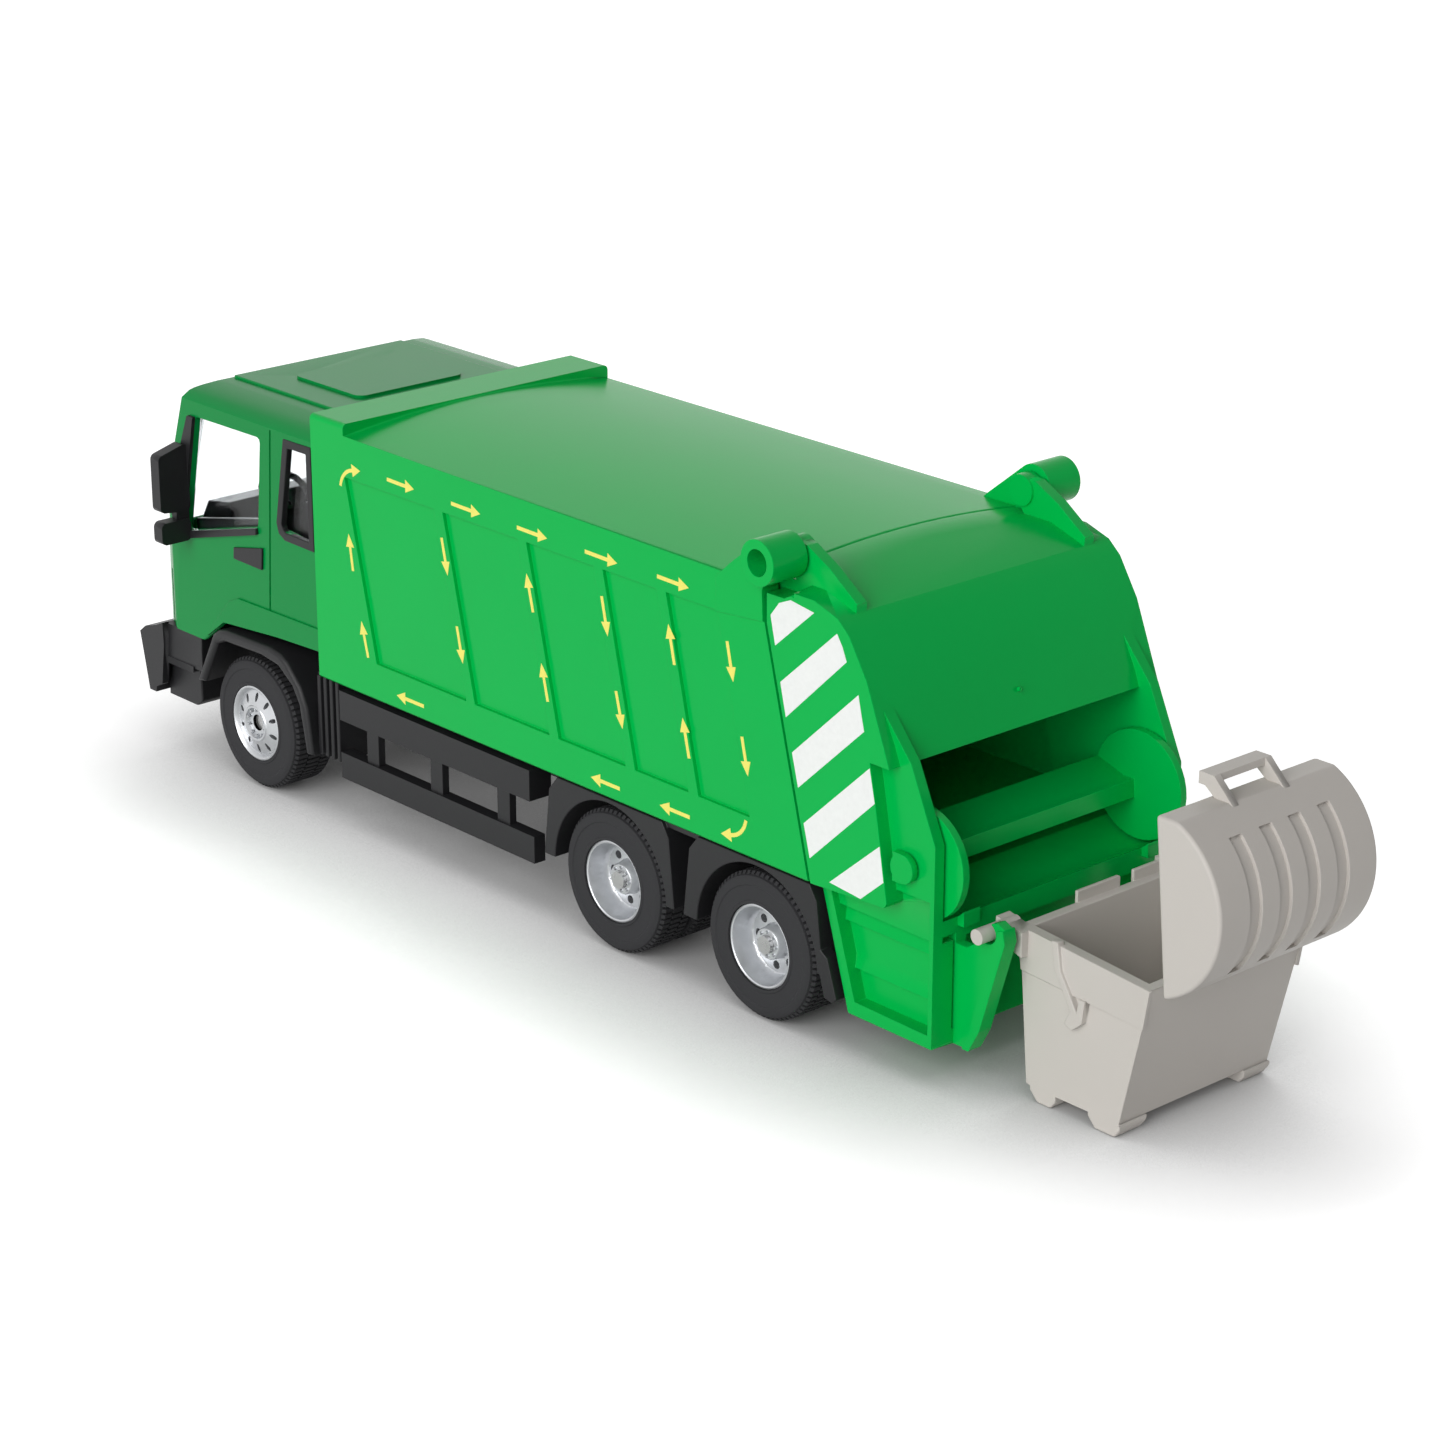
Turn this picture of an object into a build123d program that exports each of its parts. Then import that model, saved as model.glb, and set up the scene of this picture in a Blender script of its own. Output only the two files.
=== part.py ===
from build123d import *
import os

# Toy garbage truck, 1:50, in millimetres. +X forward, +Y to the truck's left, +Z up.
# While it is built, x = 0 is the front face of the container's header and z = 0 the floor.
# The pieces are moved along X at the end, so that the origin is under the middle of the toy.

# Clearances
RUNNING = 0.06            # radial clearance of pins and axles
SIDE_GAP = 0.4            # gap between pieces that pass each other
SEAM = 0.4                # gap between container and tailgate
CAB_GAP = 0.6             # gap between the container's header and the cab
ARCH_GAP = 1.4            # gap between the rear tyres and their mudguards

# Wheels
TYRE_R = 10.4
RIM_R = 6.0
RIM_SIDES = 24
TYRE_SIDES = 48
SHOULDER = 0.9            # bevel of the tyre's shoulders
TWIN_GAP_R = 7.8          # bottom of the gap between twin tyres
SINGLE_WIDTH = 8.0        # front tyre
RIM_SET_IN = 0.4
TRACK_IN = 1.5            # tyres' outer faces inside the container's sides
AXLE_R = 1.25
AXLES = (                 # name, x, twin tyres
    ("front", 19.5, False),
    ("middle", -65.4, True),
    ("rear", -95.4, True),
)

# Container
BODY_HALF = 25.0          # half width over the container's sides
FLOOR_Z = 2 * TYRE_R + 2.8   # underside of the container, top of the chassis deck
BODY_TALL = 38.6          # sides, from the underside to the shoulder where the dome starts
DOME_RISE = 1.7           # crown of the dome above the shoulder
HEADER_RISE = 2.0         # flat top of the header bar above the shoulder
HEADER_DEEP = 8.0         # header bar, front to back
HEADER_ROUND = 0.8        # radius of the header's outer top corners
WALL = 1.5                # moulded walls of container and tailgate
REAR_FOOT_X = AXLES[2][1] - TYRE_R - 0.7   # slanted rear edge of the sides, at the underside
REAR_SLANT = 8.6          # how far that edge leans forward to its upper end
BAND_TOP = 5.9            # plain band of the side above the recessed panels
BAND_FOOT = 5.7           # and below them
PANEL_DEPTH = 0.6
PANEL_SLANT = 6.4         # how far a panel's foot lies behind its top
PANEL_RIB = 2.0           # rib between two panels
PANEL_WIDTHS = (21.0, 16.6, 14.2, 10.9, 10.1)   # from front to rear

# Hinge of the tailgate
LUG_R = 3.1
LUG_BORE_R = 1.8
LUG_BORE_DEEP = 4.0
LUG_REACH = 3.2           # lug's outer end beyond the container's side
LUG_THICK = 2.8           # bracket plate inside the container's side
PIN_R = 1.5               # hinge pin on the tailgate's arm
PIN_LONG = 1.4
BOSS_R = 2.2              # round end of the arm that carries the pin

# Tailgate and hopper
HOPPER_SET_IN = 2.0       # hopper's side walls inside the container's sides
HOPPER_LONG = 21.0        # hopper's rear face behind the container's rear foot
HOPPER_FOOT_Z = FLOOR_Z - 17.4
HOPPER_FRONT = 5.8        # hopper's bottom front edge behind the container's rear foot
HOPPER_WALL = 1.7         # side walls beside the trough
FRAME = 1.5               # rims round the recesses of the hopper
POST = 0.8                # narrower rim along the side recess's rear edge
RECESS = 2.1              # depth of the recesses under the trough
RIB_PROUD = 0.8           # the recesses' two level ribs
LIP_RISE = 0.8            # hopper's rear lip above the container's underside
ARM_THICK = 1.5           # fork arms that carry the bin
ARM_SET_IN = 5.5          # arm's inner face inside the hopper's side wall
NUB_WIDE = 2.9            # two stops on the lip above the bin's pins

# Packer scoop
SCOOP_R = 7.7
SCOOP_GAP = 0.35
SCOOP_END = 1.2
DISC_SIDES = 36
SHAFT_R = 1.2
KNOB_R = 2.0
KNOB_THICK = 1.0

# Bin and lid
BIN_PIN_R = 1.05
PIN_END = 1.9             # bin's pins beyond the fork arms
BIN_SIDE = 3.2            # bin's side inside the fork arm
BIN_LONG = 22.4           # rim, front to rear
BIN_FLOOR_Z = 2.0
BIN_WALL = 1.2
BAND = 0.5
BAND_TALL = 6.0
LID_ROD_R = 0.7
LID_TALL = BIN_LONG + 0.2
LID_DEEP = 9.9
LID_LEAN = 1.0            # how far the lid's upper edge leans over the bin
HANDLE_WIDE = 1.6
HANDLE_THICK = 1.0

# Cab
CAB_SET_IN = 1.0          # cab's sides inside the container's sides
CAB_WALL = 1.0
CAB_FLOOR_Z = FLOOR_Z + 3.4
CAB_SKIRT_Z = FLOOR_Z - 2.6   # lower edge of the front and the door
CAB_TALL = 37.9           # roof beside the raised middle, above the container's underside
ROOF_STEP = 0.4
CAB_NOSE_X = 43.4         # foot of the front face
CORNER_CUT = 2.2          # bevel of the front corners
SEAM_DEEP = 0.3           # groove behind the door
PANE = 0.7
PANE_LAP = 0.4
PANE_ROUND = 0.8
FRONT_REACH = 5.4         # bumper's foremost edge ahead of the front face
FIN_OUT = 0.6             # bumper ends beyond the cab's sides
TRIM = 0.6
MIRROR_OUT = 4.7          # mirror housings beyond the cab's sides

# Chassis
RAIL_IN = 5.5
RAIL_OUT = 8.0
RAIL_FOOT = FLOOR_Z - 10.6
MEMBER_FOOT = RAIL_FOOT + 2.0   # underside of the cross members
DECK = 0.7                # deck plate under the container
GUARD_SET_IN = 1.0        # side guards and mudguards inside the container's sides


def on_line(start, end, z):
    """x of the line through two (x, z) points at the height z."""
    return start[0] + (end[0] - start[0]) * (z - start[1]) / (end[1] - start[1])


# Places that follow from the driving dimensions
SHOULDER_Z = FLOOR_Z + BODY_TALL
HEADER_TOP = SHOULDER_Z + HEADER_RISE
PANEL_TOP = SHOULDER_Z - BAND_TOP
PANEL_FOOT = FLOOR_Z + BAND_FOOT
REAR_TOP = (REAR_FOOT_X + REAR_SLANT, PANEL_TOP + 0.8)
REAR_FOOT = (REAR_FOOT_X, FLOOR_Z)
SEAM_TOP = (REAR_TOP[0] - SEAM, REAR_TOP[1])
SEAM_FOOT = (REAR_FOOT_X - SEAM, FLOOR_Z)
LUG_X = REAR_TOP[0] - 2.0
LUG_Z = HEADER_TOP + 1.9
LUG_OUT = BODY_HALF + LUG_REACH
LUG_PLATE = BODY_HALF - LUG_THICK
HOPPER_HALF = BODY_HALF - HOPPER_SET_IN
HOPPER_IN = HOPPER_HALF - HOPPER_WALL
HOPPER_BACK = REAR_FOOT_X - HOPPER_LONG
FRONT_FOOT = (REAR_FOOT_X - HOPPER_FRONT, HOPPER_FOOT_Z)
LIP_Z = FLOOR_Z + LIP_RISE
SCOOP_X = HOPPER_BACK + 4.7
SCOOP_Z = LIP_Z + 5.9
TROUGH_R = SCOOP_R + SCOOP_GAP
ARM_IN = HOPPER_HALF - ARM_SET_IN
BIN_PIN_X = HOPPER_BACK - 5.5
BIN_PIN_Z = LIP_Z - 1.1
BIN_PIN_END = ARM_IN + ARM_THICK + PIN_END
BIN_HALF = ARM_IN - BIN_SIDE
RIM_FRONT = (BIN_PIN_X - 1.2, BIN_PIN_Z + 0.4)
RIM_REAR = (RIM_FRONT[0] - BIN_LONG, RIM_FRONT[1] - 1.8)
LID_X = RIM_REAR[0] - 0.7
LID_Z = RIM_REAR[1] + 0.6
HANDLE_OUT = LID_TALL + 2.8
CAB_HALF = BODY_HALF - CAB_SET_IN
CAB_TOP = FLOOR_Z + CAB_TALL
NOSE_X = CAB_NOSE_X + FRONT_REACH
TRACK_OUT = BODY_HALF - TRACK_IN
TWIN_WIDTH = TRACK_OUT - RAIL_OUT - 2.0
WHEEL_X = AXLES[0][1]
FLAP_FRONT = WHEEL_X - 1.49 * TYRE_R
FLAP_BACK = FLAP_FRONT - 6.6
GUARD_FRONT = FLAP_BACK - 0.8
GUARD_REAR = AXLES[1][1] + TYRE_R + 6.0
DECK_Z = FLOOR_Z - DECK
GUARD_Y = BODY_HALF - GUARD_SET_IN
BUMPER_REAR = WHEEL_X + 1.26 * TYRE_R + SIDE_GAP


def slab(points, y0, y1, corner=0.0):
    """Prism of an x-z outline between two y planes."""
    outline = make_face(Polyline(*[(x, y0, z) for x, z in points], close=True))
    if corner:
        outline = fillet(outline.vertices(), corner)
    return extrude(outline, amount=y1 - y0, dir=(0, 1, 0))


def block(x0, x1, y0, y1, z0, z1):
    return Pos(x0, y0, z0) * Box(x1 - x0, y1 - y0, z1 - z0, align=(Align.MIN,) * 3)


def rod(x, z, radius, y0, y1):
    """Round bar along Y."""
    low = Align.MIN
    shape = Cylinder(radius, y1 - y0, align=(Align.CENTER, Align.CENTER, low))
    return Pos(x, y0, z) * Rot(-90, 0, 0) * shape


def other_side(shape):
    return mirror(shape, about=Plane.XZ)


def both(shape):
    """The shape and its mirror image on the other side of the truck."""
    return shape + other_side(shape)


def dome_outline(inset=0.0):
    """Cross-section of the container, y-z, as a face at x = 0."""
    half = BODY_HALF - inset
    shoulder = SHOULDER_Z - inset
    foot = FLOOR_Z + inset
    crown = shoulder + DOME_RISE
    sides = Polyline((0, half, shoulder), (0, half, foot), (0, -half, foot), (0, -half, shoulder))
    arch = ThreePointArc((0, -half, shoulder), (0, 0, crown), (0, half, shoulder))
    return make_face(sides + arch)


def dome_bar(x0, x1, inset=0.0):
    return Pos(x0, 0, 0) * extrude(dome_outline(inset), amount=x1 - x0, dir=(1, 0, 0))


def container():
    seam_top_x = on_line(REAR_FOOT, REAR_TOP, HEADER_TOP)
    deep = REAR_FOOT_X - 1
    shape = dome_bar(deep, -HEADER_DEEP / 2)
    behind = [(seam_top_x, HEADER_TOP), REAR_FOOT, (deep - 2, FLOOR_Z), (deep - 2, HEADER_TOP)]
    header = block(-HEADER_DEEP, 0, -BODY_HALF, BODY_HALF, FLOOR_Z, HEADER_TOP)
    top_corners = header.edges().filter_by(Axis.X).group_by(Axis.Z)[-1]
    shape = shape + fillet(top_corners, HEADER_ROUND)
    shape -= slab(behind, -BODY_HALF - 1, BODY_HALF + 1)
    shape -= dome_bar(deep - 2, -HEADER_DEEP + WALL, WALL)
    front = -HEADER_DEEP
    for width in PANEL_WIDTHS:
        outline = [(front, PANEL_TOP), (front - width, PANEL_TOP)]
        outline += [(front - width - PANEL_SLANT, PANEL_FOOT), (front - PANEL_SLANT, PANEL_FOOT)]
        shape -= both(slab(outline, BODY_HALF - PANEL_DEPTH, BODY_HALF + 1))
        front -= width + PANEL_RIB
    return shape + both(lug_bracket())


def lug_bracket():
    """Plate that rises from the side to the hinge lug, and the lug itself."""
    x, z = REAR_TOP
    outline = [(x + 9.1, z - 0.8), REAR_TOP, (x + 0.2, z + 4.5), (LUG_X, LUG_Z - LUG_R)]
    outline += [(LUG_X, LUG_Z), (LUG_X + 2.3, LUG_Z + 2.1), (x + 6.9, z + 5.9), (x + 9.1, z + 3.9)]
    plate = slab(outline, LUG_PLATE, BODY_HALF + 0.3)
    shape = plate + rod(LUG_X, LUG_Z, LUG_R, LUG_PLATE, LUG_OUT)
    shape -= rod(LUG_X, LUG_Z, LUG_BORE_R, LUG_OUT - LUG_BORE_DEEP, LUG_OUT + 1)
    return shape - rod(LUG_X, LUG_Z, PIN_R + RUNNING, LUG_PLATE - 1, LUG_PLATE + PIN_LONG + 0.1)


CREASE = (REAR_FOOT_X - 4.9, SHOULDER_Z - 1.3)
COVER_FOOT = (REAR_FOOT_X - 14.6, CREASE[1] - 17.6)
COVER_REAR = [CREASE, (CREASE[0] - 2.1, CREASE[1] - 1.8), (CREASE[0] - 5.4, CREASE[1] - 7.0),
              (CREASE[0] - 7.2, CREASE[1] - 15.0), COVER_FOOT]


def tailgate():
    half = BODY_HALF
    ahead = on_line(SEAM_FOOT, SEAM_TOP, HEADER_TOP)
    crest_x = SEAM_TOP[0] - 2.7
    low = (COVER_FOOT[0], LIP_Z)
    hull = [(ahead, HEADER_TOP), (crest_x, HEADER_TOP)] + COVER_REAR + [low, SEAM_FOOT]
    shell = dome_bar(HOPPER_BACK, ahead) & slab(hull, -half, half)
    inner = [(ahead + 1, HEADER_TOP - WALL), (crest_x + WALL / 2, HEADER_TOP - WALL)]
    inner += [(x + WALL, z - WALL / 2) for x, z in COVER_REAR]
    inner += [(low[0] + WALL, LIP_Z - 2), (ahead + 1, LIP_Z - 2)]
    hollow = dome_bar(HOPPER_BACK - 1, ahead + 1, WALL) & slab(inner, -HOPPER_IN, HOPPER_IN)
    cover = shell - hollow - block(HOPPER_BACK, SEAM_TOP[0] + 3, -half, half, 0, COVER_FOOT[1])
    outside = LUG_PLATE - SIDE_GAP
    over = LUG_Z + LUG_R + 1
    clear_of_lug = block(LUG_X - LUG_R - SIDE_GAP, ahead + 1, outside, half + 1, REAR_TOP[1] + 4, over)
    clear_of_lug += block(SEAM_TOP[0], ahead + 1, outside, half + 1, REAR_TOP[1], over)
    shape = cover - both(clear_of_lug) + both(tailgate_side()) + hopper_box()
    shape += both(fork_arm()) + both(hinge_arm()) + both(lip_nub())
    shape -= rod(SCOOP_X, SCOOP_Z, SHAFT_R + RUNNING, HOPPER_IN - 1, half)
    return shape - rod(SCOOP_X, SCOOP_Z, SHAFT_R + RUNNING, -HOPPER_IN - 1, -HOPPER_IN + 1)


def tailgate_side():
    """Left striped plate, the hopper's side wall below and behind it, and the wall's recess."""
    x, z = SEAM_TOP
    rear = SEAM_FOOT[0] - 13.0
    plate = [SEAM_FOOT, SEAM_TOP, (x - 0.4, z + 2.5), (x - 4.4, z + 4.6), (x - 9.1, z + 3.9)]
    plate += [(x - 13.5, z + 2.2), (x - 15.3, z - 1.1), (x - 17.4, z - 5.5), (x - 19.9, z - 16.6)]
    plate += [(rear, LIP_Z + 7.1), (rear - 1.1, LIP_Z + 0.7), (rear - 0.6, LIP_Z), SEAM_FOOT]
    side = slab(plate[:-1], HOPPER_IN, BODY_HALF)
    wall = [SEAM_FOOT, SEAM_TOP, (x - 13.5, z + 1.8), (x - 18.5, z - 6.1), (HOPPER_BACK + 4.6, LIP_Z + 19.8)]
    wall += [(HOPPER_BACK, LIP_Z + 9.8), (HOPPER_BACK, HOPPER_FOOT_Z), FRONT_FOOT]
    walls = slab(wall, HOPPER_IN, HOPPER_HALF)
    shelf = SCOOP_Z - TROUGH_R - WALL
    low_in = HOPPER_HALF - RECESS - WALL
    low = [(on_line(SEAM_FOOT, FRONT_FOOT, shelf), shelf), (HOPPER_BACK, shelf)]
    low += [(HOPPER_BACK, HOPPER_FOOT_Z), FRONT_FOOT]
    walls += slab(low, low_in, HOPPER_HALF)
    front_top = (SEAM_FOOT[0] - 1.6, SEAM_FOOT[1])
    front_foot = (FRONT_FOOT[0] - FRAME + 0.4, HOPPER_FOOT_Z + FRAME + 0.6)
    post = HOPPER_BACK + POST
    ledge = LIP_Z + 2.1
    upper = [front_top, (on_line(front_top, front_foot, shelf), shelf), (post, shelf), (post, ledge)]
    upper += [(rear, ledge)]
    walls -= slab(upper, HOPPER_HALF - RECESS / 2, HOPPER_HALF + 1)
    lower = [(on_line(front_top, front_foot, shelf), shelf), front_foot, (post, front_foot[1]), (post, shelf)]
    walls -= slab(lower, HOPPER_HALF - RECESS, HOPPER_HALF + 1)
    for top in (shelf - 0.4, shelf - 6.6):
        walls += recess_rib(on_line(front_top, front_foot, top) + 0.2, post - 0.2, top)
    return walls + side


def recess_rib(front, rear, top):
    """Level rib at the back of the recess, deepest along its lower edge."""
    back = HOPPER_HALF - RECESS
    section = [(rear, back, top), (rear, back + RIB_PROUD, top - 1.7), (rear, back, top - 1.8)]
    return extrude(make_face(Polyline(*section, close=True)), amount=front - rear, dir=(1, 0, 0))


def hopper_box():
    """Lower box of the tailgate: rear wall, floor and the concave trough."""
    inside = HOPPER_HALF - RECESS - WALL
    corner = [SEAM_FOOT, (SEAM_FOOT[0], LIP_Z), (HOPPER_BACK, LIP_Z)]
    box = slab(corner + [(HOPPER_BACK, HOPPER_FOOT_Z), FRONT_FOOT], -HOPPER_IN, HOPPER_IN)
    shelf = SCOOP_Z - TROUGH_R - WALL
    back = HOPPER_BACK + RECESS
    cavity = [(back + WALL, HOPPER_FOOT_Z + WALL), (back + WALL, shelf)]
    cavity += [(SEAM_FOOT[0] + 9, shelf), (SEAM_FOOT[0] + 9, HOPPER_FOOT_Z + WALL)]
    box -= slab(cavity, -inside, inside)
    pocket = block(HOPPER_BACK - 1, back, 0, ARM_IN - 0.4, HOPPER_FOOT_Z - 1, shelf)
    pocket += block(HOPPER_BACK - 1, HOPPER_BACK + RECESS / 2, ARM_IN + ARM_THICK, HOPPER_HALF - FRAME,
                    HOPPER_FOOT_Z + FRAME + 0.6, shelf + 0.8)
    side_flats = block(back + 0.1, SEAM_FOOT[0] + 1, inside, HOPPER_HALF, 0, shelf - 0.1)
    box -= both(pocket) + both(side_flats)
    return box - rod(SCOOP_X, SCOOP_Z, TROUGH_R, -HOPPER_IN, HOPPER_IN)


def fork_arm():
    """Open notch that carries the bin's pin, moulded to the hopper's rear wall."""
    x, z = BIN_PIN_X, BIN_PIN_Z
    outline = [(HOPPER_BACK, HOPPER_FOOT_Z), (HOPPER_BACK, z - 3.1), (x + 3.8, z - 3.1), (x + 2.0, z - 2.1)]
    outline += [(x + 1.6, z - 0.7), (x, z), (x - 0.7, z + 1.5), (x - 1.7, z + 1.9)]
    outline += [(x - 3.0, z + 1.3), (x - 3.4, z - 0.5), (x + 0.6, HOPPER_FOOT_Z + 3.4)]
    outline += [(x + 2.4, HOPPER_FOOT_Z)]
    plate = slab(outline, ARM_IN, ARM_IN + ARM_THICK)
    edge = [(x - 3.0, z + 1.3), (x - 3.4, z - 0.5), (x + 0.6, HOPPER_FOOT_Z + 3.4)]
    edge += [(x + 2.4, HOPPER_FOOT_Z), (x + 3.6, HOPPER_FOOT_Z), (x + 2.2, HOPPER_FOOT_Z + 3.8)]
    edge += [(x - 1.8, z - 0.6), (x - 2.0, z + 1.0)]
    plate += slab(edge, ARM_IN - 0.4, ARM_IN + ARM_THICK + 0.4)
    return plate - rod(x, z, BIN_PIN_R + SIDE_GAP, ARM_IN - 1, ARM_IN + 3)


def lip_nub():
    """Rounded stop on the rear face, just inside the fork arm."""
    inner = ARM_IN - 1.7
    x = HOPPER_BACK - 1.1
    shape = block(x, HOPPER_BACK + 0.4, inner, inner + NUB_WIDE, LIP_Z - 1.9, LIP_Z + 0.6)
    edge = shape.edges().filter_by(Axis.Y).group_by(Axis.Z)[-1].sort_by(Axis.X)[0]
    return fillet(edge, 0.8) - rod(SCOOP_X, SCOOP_Z, TROUGH_R, inner - 1, inner + NUB_WIDE + 1)


def hinge_arm():
    """Web from the cover up to the hinge, with its boss and pin."""
    boss_out = LUG_PLATE - SIDE_GAP
    boss_in = boss_out - 2.2
    outline = [(LUG_X + 0.6, LUG_Z - 1.9), (LUG_X + 1.5, LUG_Z + 1.4), (LUG_X - 0.6, LUG_Z + 1.9)]
    outline += [(LUG_X - 2.6, LUG_Z + 1.6), (LUG_X - 6.6, LUG_Z - 0.5), (CREASE[0] - 0.2, CREASE[1] + 1.2)]
    outline += [(CREASE[0], CREASE[1] - 1), (LUG_X - 1.7, CREASE[1] + 0.5)]
    web = slab(outline, boss_in + 0.4, boss_out)
    boss = rod(LUG_X, LUG_Z, BOSS_R, boss_in, boss_out)
    return web + boss + rod(LUG_X, LUG_Z, PIN_R, boss_in, LUG_PLATE + PIN_LONG)


def scoop():
    """Two end discs joined by the packer blade, and the knob on the left wall."""
    x, z = SCOOP_X, SCOOP_Z
    inside = HOPPER_IN - SCOOP_GAP
    end = Pos(x, 0, z) * turned([(inside - SCOOP_END, SCOOP_R), (inside, SCOOP_R)], DISC_SIDES)
    blade = [(x + 7.4, z + 2.1), (x + 7.4, z + 1.2), (x + 2.0, z - 0.7), (x + 1.6, z - 1.9)]
    blade += [(x + 0.4, z - 1.9), (x + 0.6, z + 0.7), (x + 2.4, z + 0.7)]
    shape = both(end) + slab(blade, -inside + 0.1, inside - 0.1)
    knob_in = HOPPER_HALF + 0.3
    shape += rod(x, z, SHAFT_R, inside - 0.2, knob_in + 0.2)
    knob = rod(x, z, KNOB_R, knob_in, knob_in + KNOB_THICK)
    knob += block(x, x + 0.8 * KNOB_R, knob_in, knob_in + KNOB_THICK, z - KNOB_R, z + KNOB_R)
    return shape + knob + rod(x, z, SHAFT_R, -HOPPER_IN - 0.8, -inside + 0.2)


def bin_outline(inset=0.0, top=0.0):
    front = (RIM_FRONT[0] - 1.9, BIN_FLOOR_Z)
    rear = (RIM_REAR[0] + 4.7, BIN_FLOOR_Z)
    return [(front[0] - inset, front[1] + inset), (RIM_FRONT[0] - inset, RIM_FRONT[1] + top),
            (RIM_REAR[0] + inset, RIM_REAR[1] + top), (rear[0] + inset, rear[1] + inset)]


def waste_bin():
    shape = slab(bin_outline(), -BIN_HALF, BIN_HALF)
    inside = BIN_HALF - BIN_WALL
    shape -= slab(bin_outline(BIN_WALL, 2.0), -inside, inside)
    x, z = RIM_FRONT
    band = [RIM_FRONT, RIM_REAR, (RIM_REAR[0] + 0.9, RIM_REAR[1] - BAND_TALL + 0.6), (x - 0.7, z - BAND_TALL)]
    side = slab(band, BIN_HALF, BIN_HALF + BAND)
    hook = [(x - 6.3, z), (x - 6.9, z - 3.7), (x - 9.8, z - 8.5), (x - 8.8, z - 10.6), (x - 10.2, z - 11.1)]
    hook += [(x - 11.8, z - 9.7), (x - 12.2, z - 6.5), (x - 11.2, z - 6.5), (x - 10.9, z - 8.4)]
    hook += [(x - 8.0, z - 3.7), (x - 7.4, z)]
    side += slab(hook, BIN_HALF - 0.2, BIN_HALF + 2 * BAND)
    pin = (BIN_PIN_X, BIN_PIN_Z)
    bracket = [(x - 2, z - 0.2), (pin[0] + 1.4, pin[1] + 1.2), (pin[0] + 1.6, pin[1] - 1.7), (x - 2, z - 3.7)]
    side += slab(bracket, BIN_HALF - 0.6, BIN_HALF + 1.8)
    side += rod(pin[0], pin[1], BIN_PIN_R, BIN_HALF - 0.6, BIN_PIN_END)
    feet = ((-2.6, -7.0), (-12.6, -18.0))   # front and rear end of each foot behind the rim
    for front, rear in feet:
        outline = [(x + front, BIN_FLOOR_Z), (x + rear, BIN_FLOOR_Z), (x + rear, 1.2), (x + rear + 0.9, 0)]
        outline += [(x + front - 1.2, 0), (x + front, 1.2)]
        side += slab(outline, BIN_HALF - 5.0, BIN_HALF)
    shape += both(side)
    tabs = ((-4.0, 3.9), (-11.5, -6.7))     # ends across the truck of each tab on the front rim
    catch = [(x - 0.6, z - 2.4), (x + 0.2, z - 2.4), (x + 0.4, z - 1.8), (x + 0.4, z + 1.5)]
    catch += [(x - 0.2, z + 1.5), (x - 0.2, z), (x - 0.6, z)]
    for low, high in tabs:
        shape += slab(catch, low, high)
    return shape + lid_rod()


def lid_rod():
    """Rod behind the rear rim that the lid turns on, with its ears."""
    reach = BIN_HALF - 4.3
    shape = rod(LID_X, LID_Z, LID_ROD_R, -reach, reach)
    x, z = RIM_REAR
    for middle in (-reach + 0.5, 0.0, reach - 0.5):
        ear = [(LID_X - 0.4, LID_Z - 0.4), (LID_X + 0.4, LID_Z - 0.1), (x + 0.3, z - 0.1)]
        ear += [(x + 0.5, z - 0.9), (x - 0.1, z - 1.2)]
        shape += slab(ear, middle - 0.5, middle + 0.5)
    return shape


def lid_face(inset):
    """Section of the lid, x-z: flat open side, short flat top and one round back over the rod."""
    foot = (LID_X - 1.35, LID_Z - 1.0 + inset)
    top_front = (LID_X + LID_LEAN, LID_Z + LID_TALL - inset)
    top_rear = (LID_X - 2.3, top_front[1])
    back = (LID_X - LID_DEEP + inset, LID_Z + 0.47 * LID_TALL)
    arch = ThreePointArc(*[(x, 0, z) for x, z in (foot, back, top_rear)])
    flat = Polyline(*[(x, 0, z) for x, z in (top_rear, top_front, foot)])
    return make_face(arch + flat)


def bin_lid():
    half = BIN_HALF + BAND
    shape = Pos(0, -half, 0) * extrude(lid_face(0), amount=2 * half, dir=(0, 1, 0))
    inside = half - BIN_WALL
    shape -= Pos(0, -inside, 0) * extrude(lid_face(BIN_WALL), amount=2 * inside, dir=(0, 1, 0))
    open_side = [(LID_X + LID_LEAN + 1, LID_Z + LID_TALL - BIN_WALL), (LID_X - 1, LID_Z + LID_TALL - BIN_WALL)]
    open_side += [(LID_X - 1, LID_Z + LID_ROD_R + 2 * BIN_WALL), (LID_X + 1, LID_Z + LID_ROD_R + 2 * BIN_WALL)]
    shape -= slab(open_side, -inside, inside)
    groove = lid_face(0) - lid_face(0.5)
    for middle in (-8.15, -2.65, 2.65, 8.15):
        cut = Pos(0, middle - 1.15, 0) * extrude(groove, amount=2.3, dir=(0, 1, 0))
        high, low = LID_Z + LID_TALL - 2.4, LID_Z + 2.6
        shape -= cut & block(LID_X - LID_DEEP - 1, LID_X - 2, middle - 2, middle + 2, low, high)
    for middle in (-6.0, 6.0):
        clip = rod(LID_X, LID_Z, LID_ROD_R + 0.6, middle - 1.6, middle + 1.6)
        clip += block(LID_X - 2.8, LID_X, middle - 1.6, middle + 1.6, LID_Z - 0.4, LID_Z + 1.3)
        clip -= block(LID_X, LID_X + 2, middle - 2, middle + 2, LID_Z - 2, LID_Z + 2.4)
        shape += clip
    shape -= rod(LID_X, LID_Z, LID_ROD_R + 0.08, -8.0, 8.0)
    return shape + lid_handle()
    return shape + lid_handle()


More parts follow.
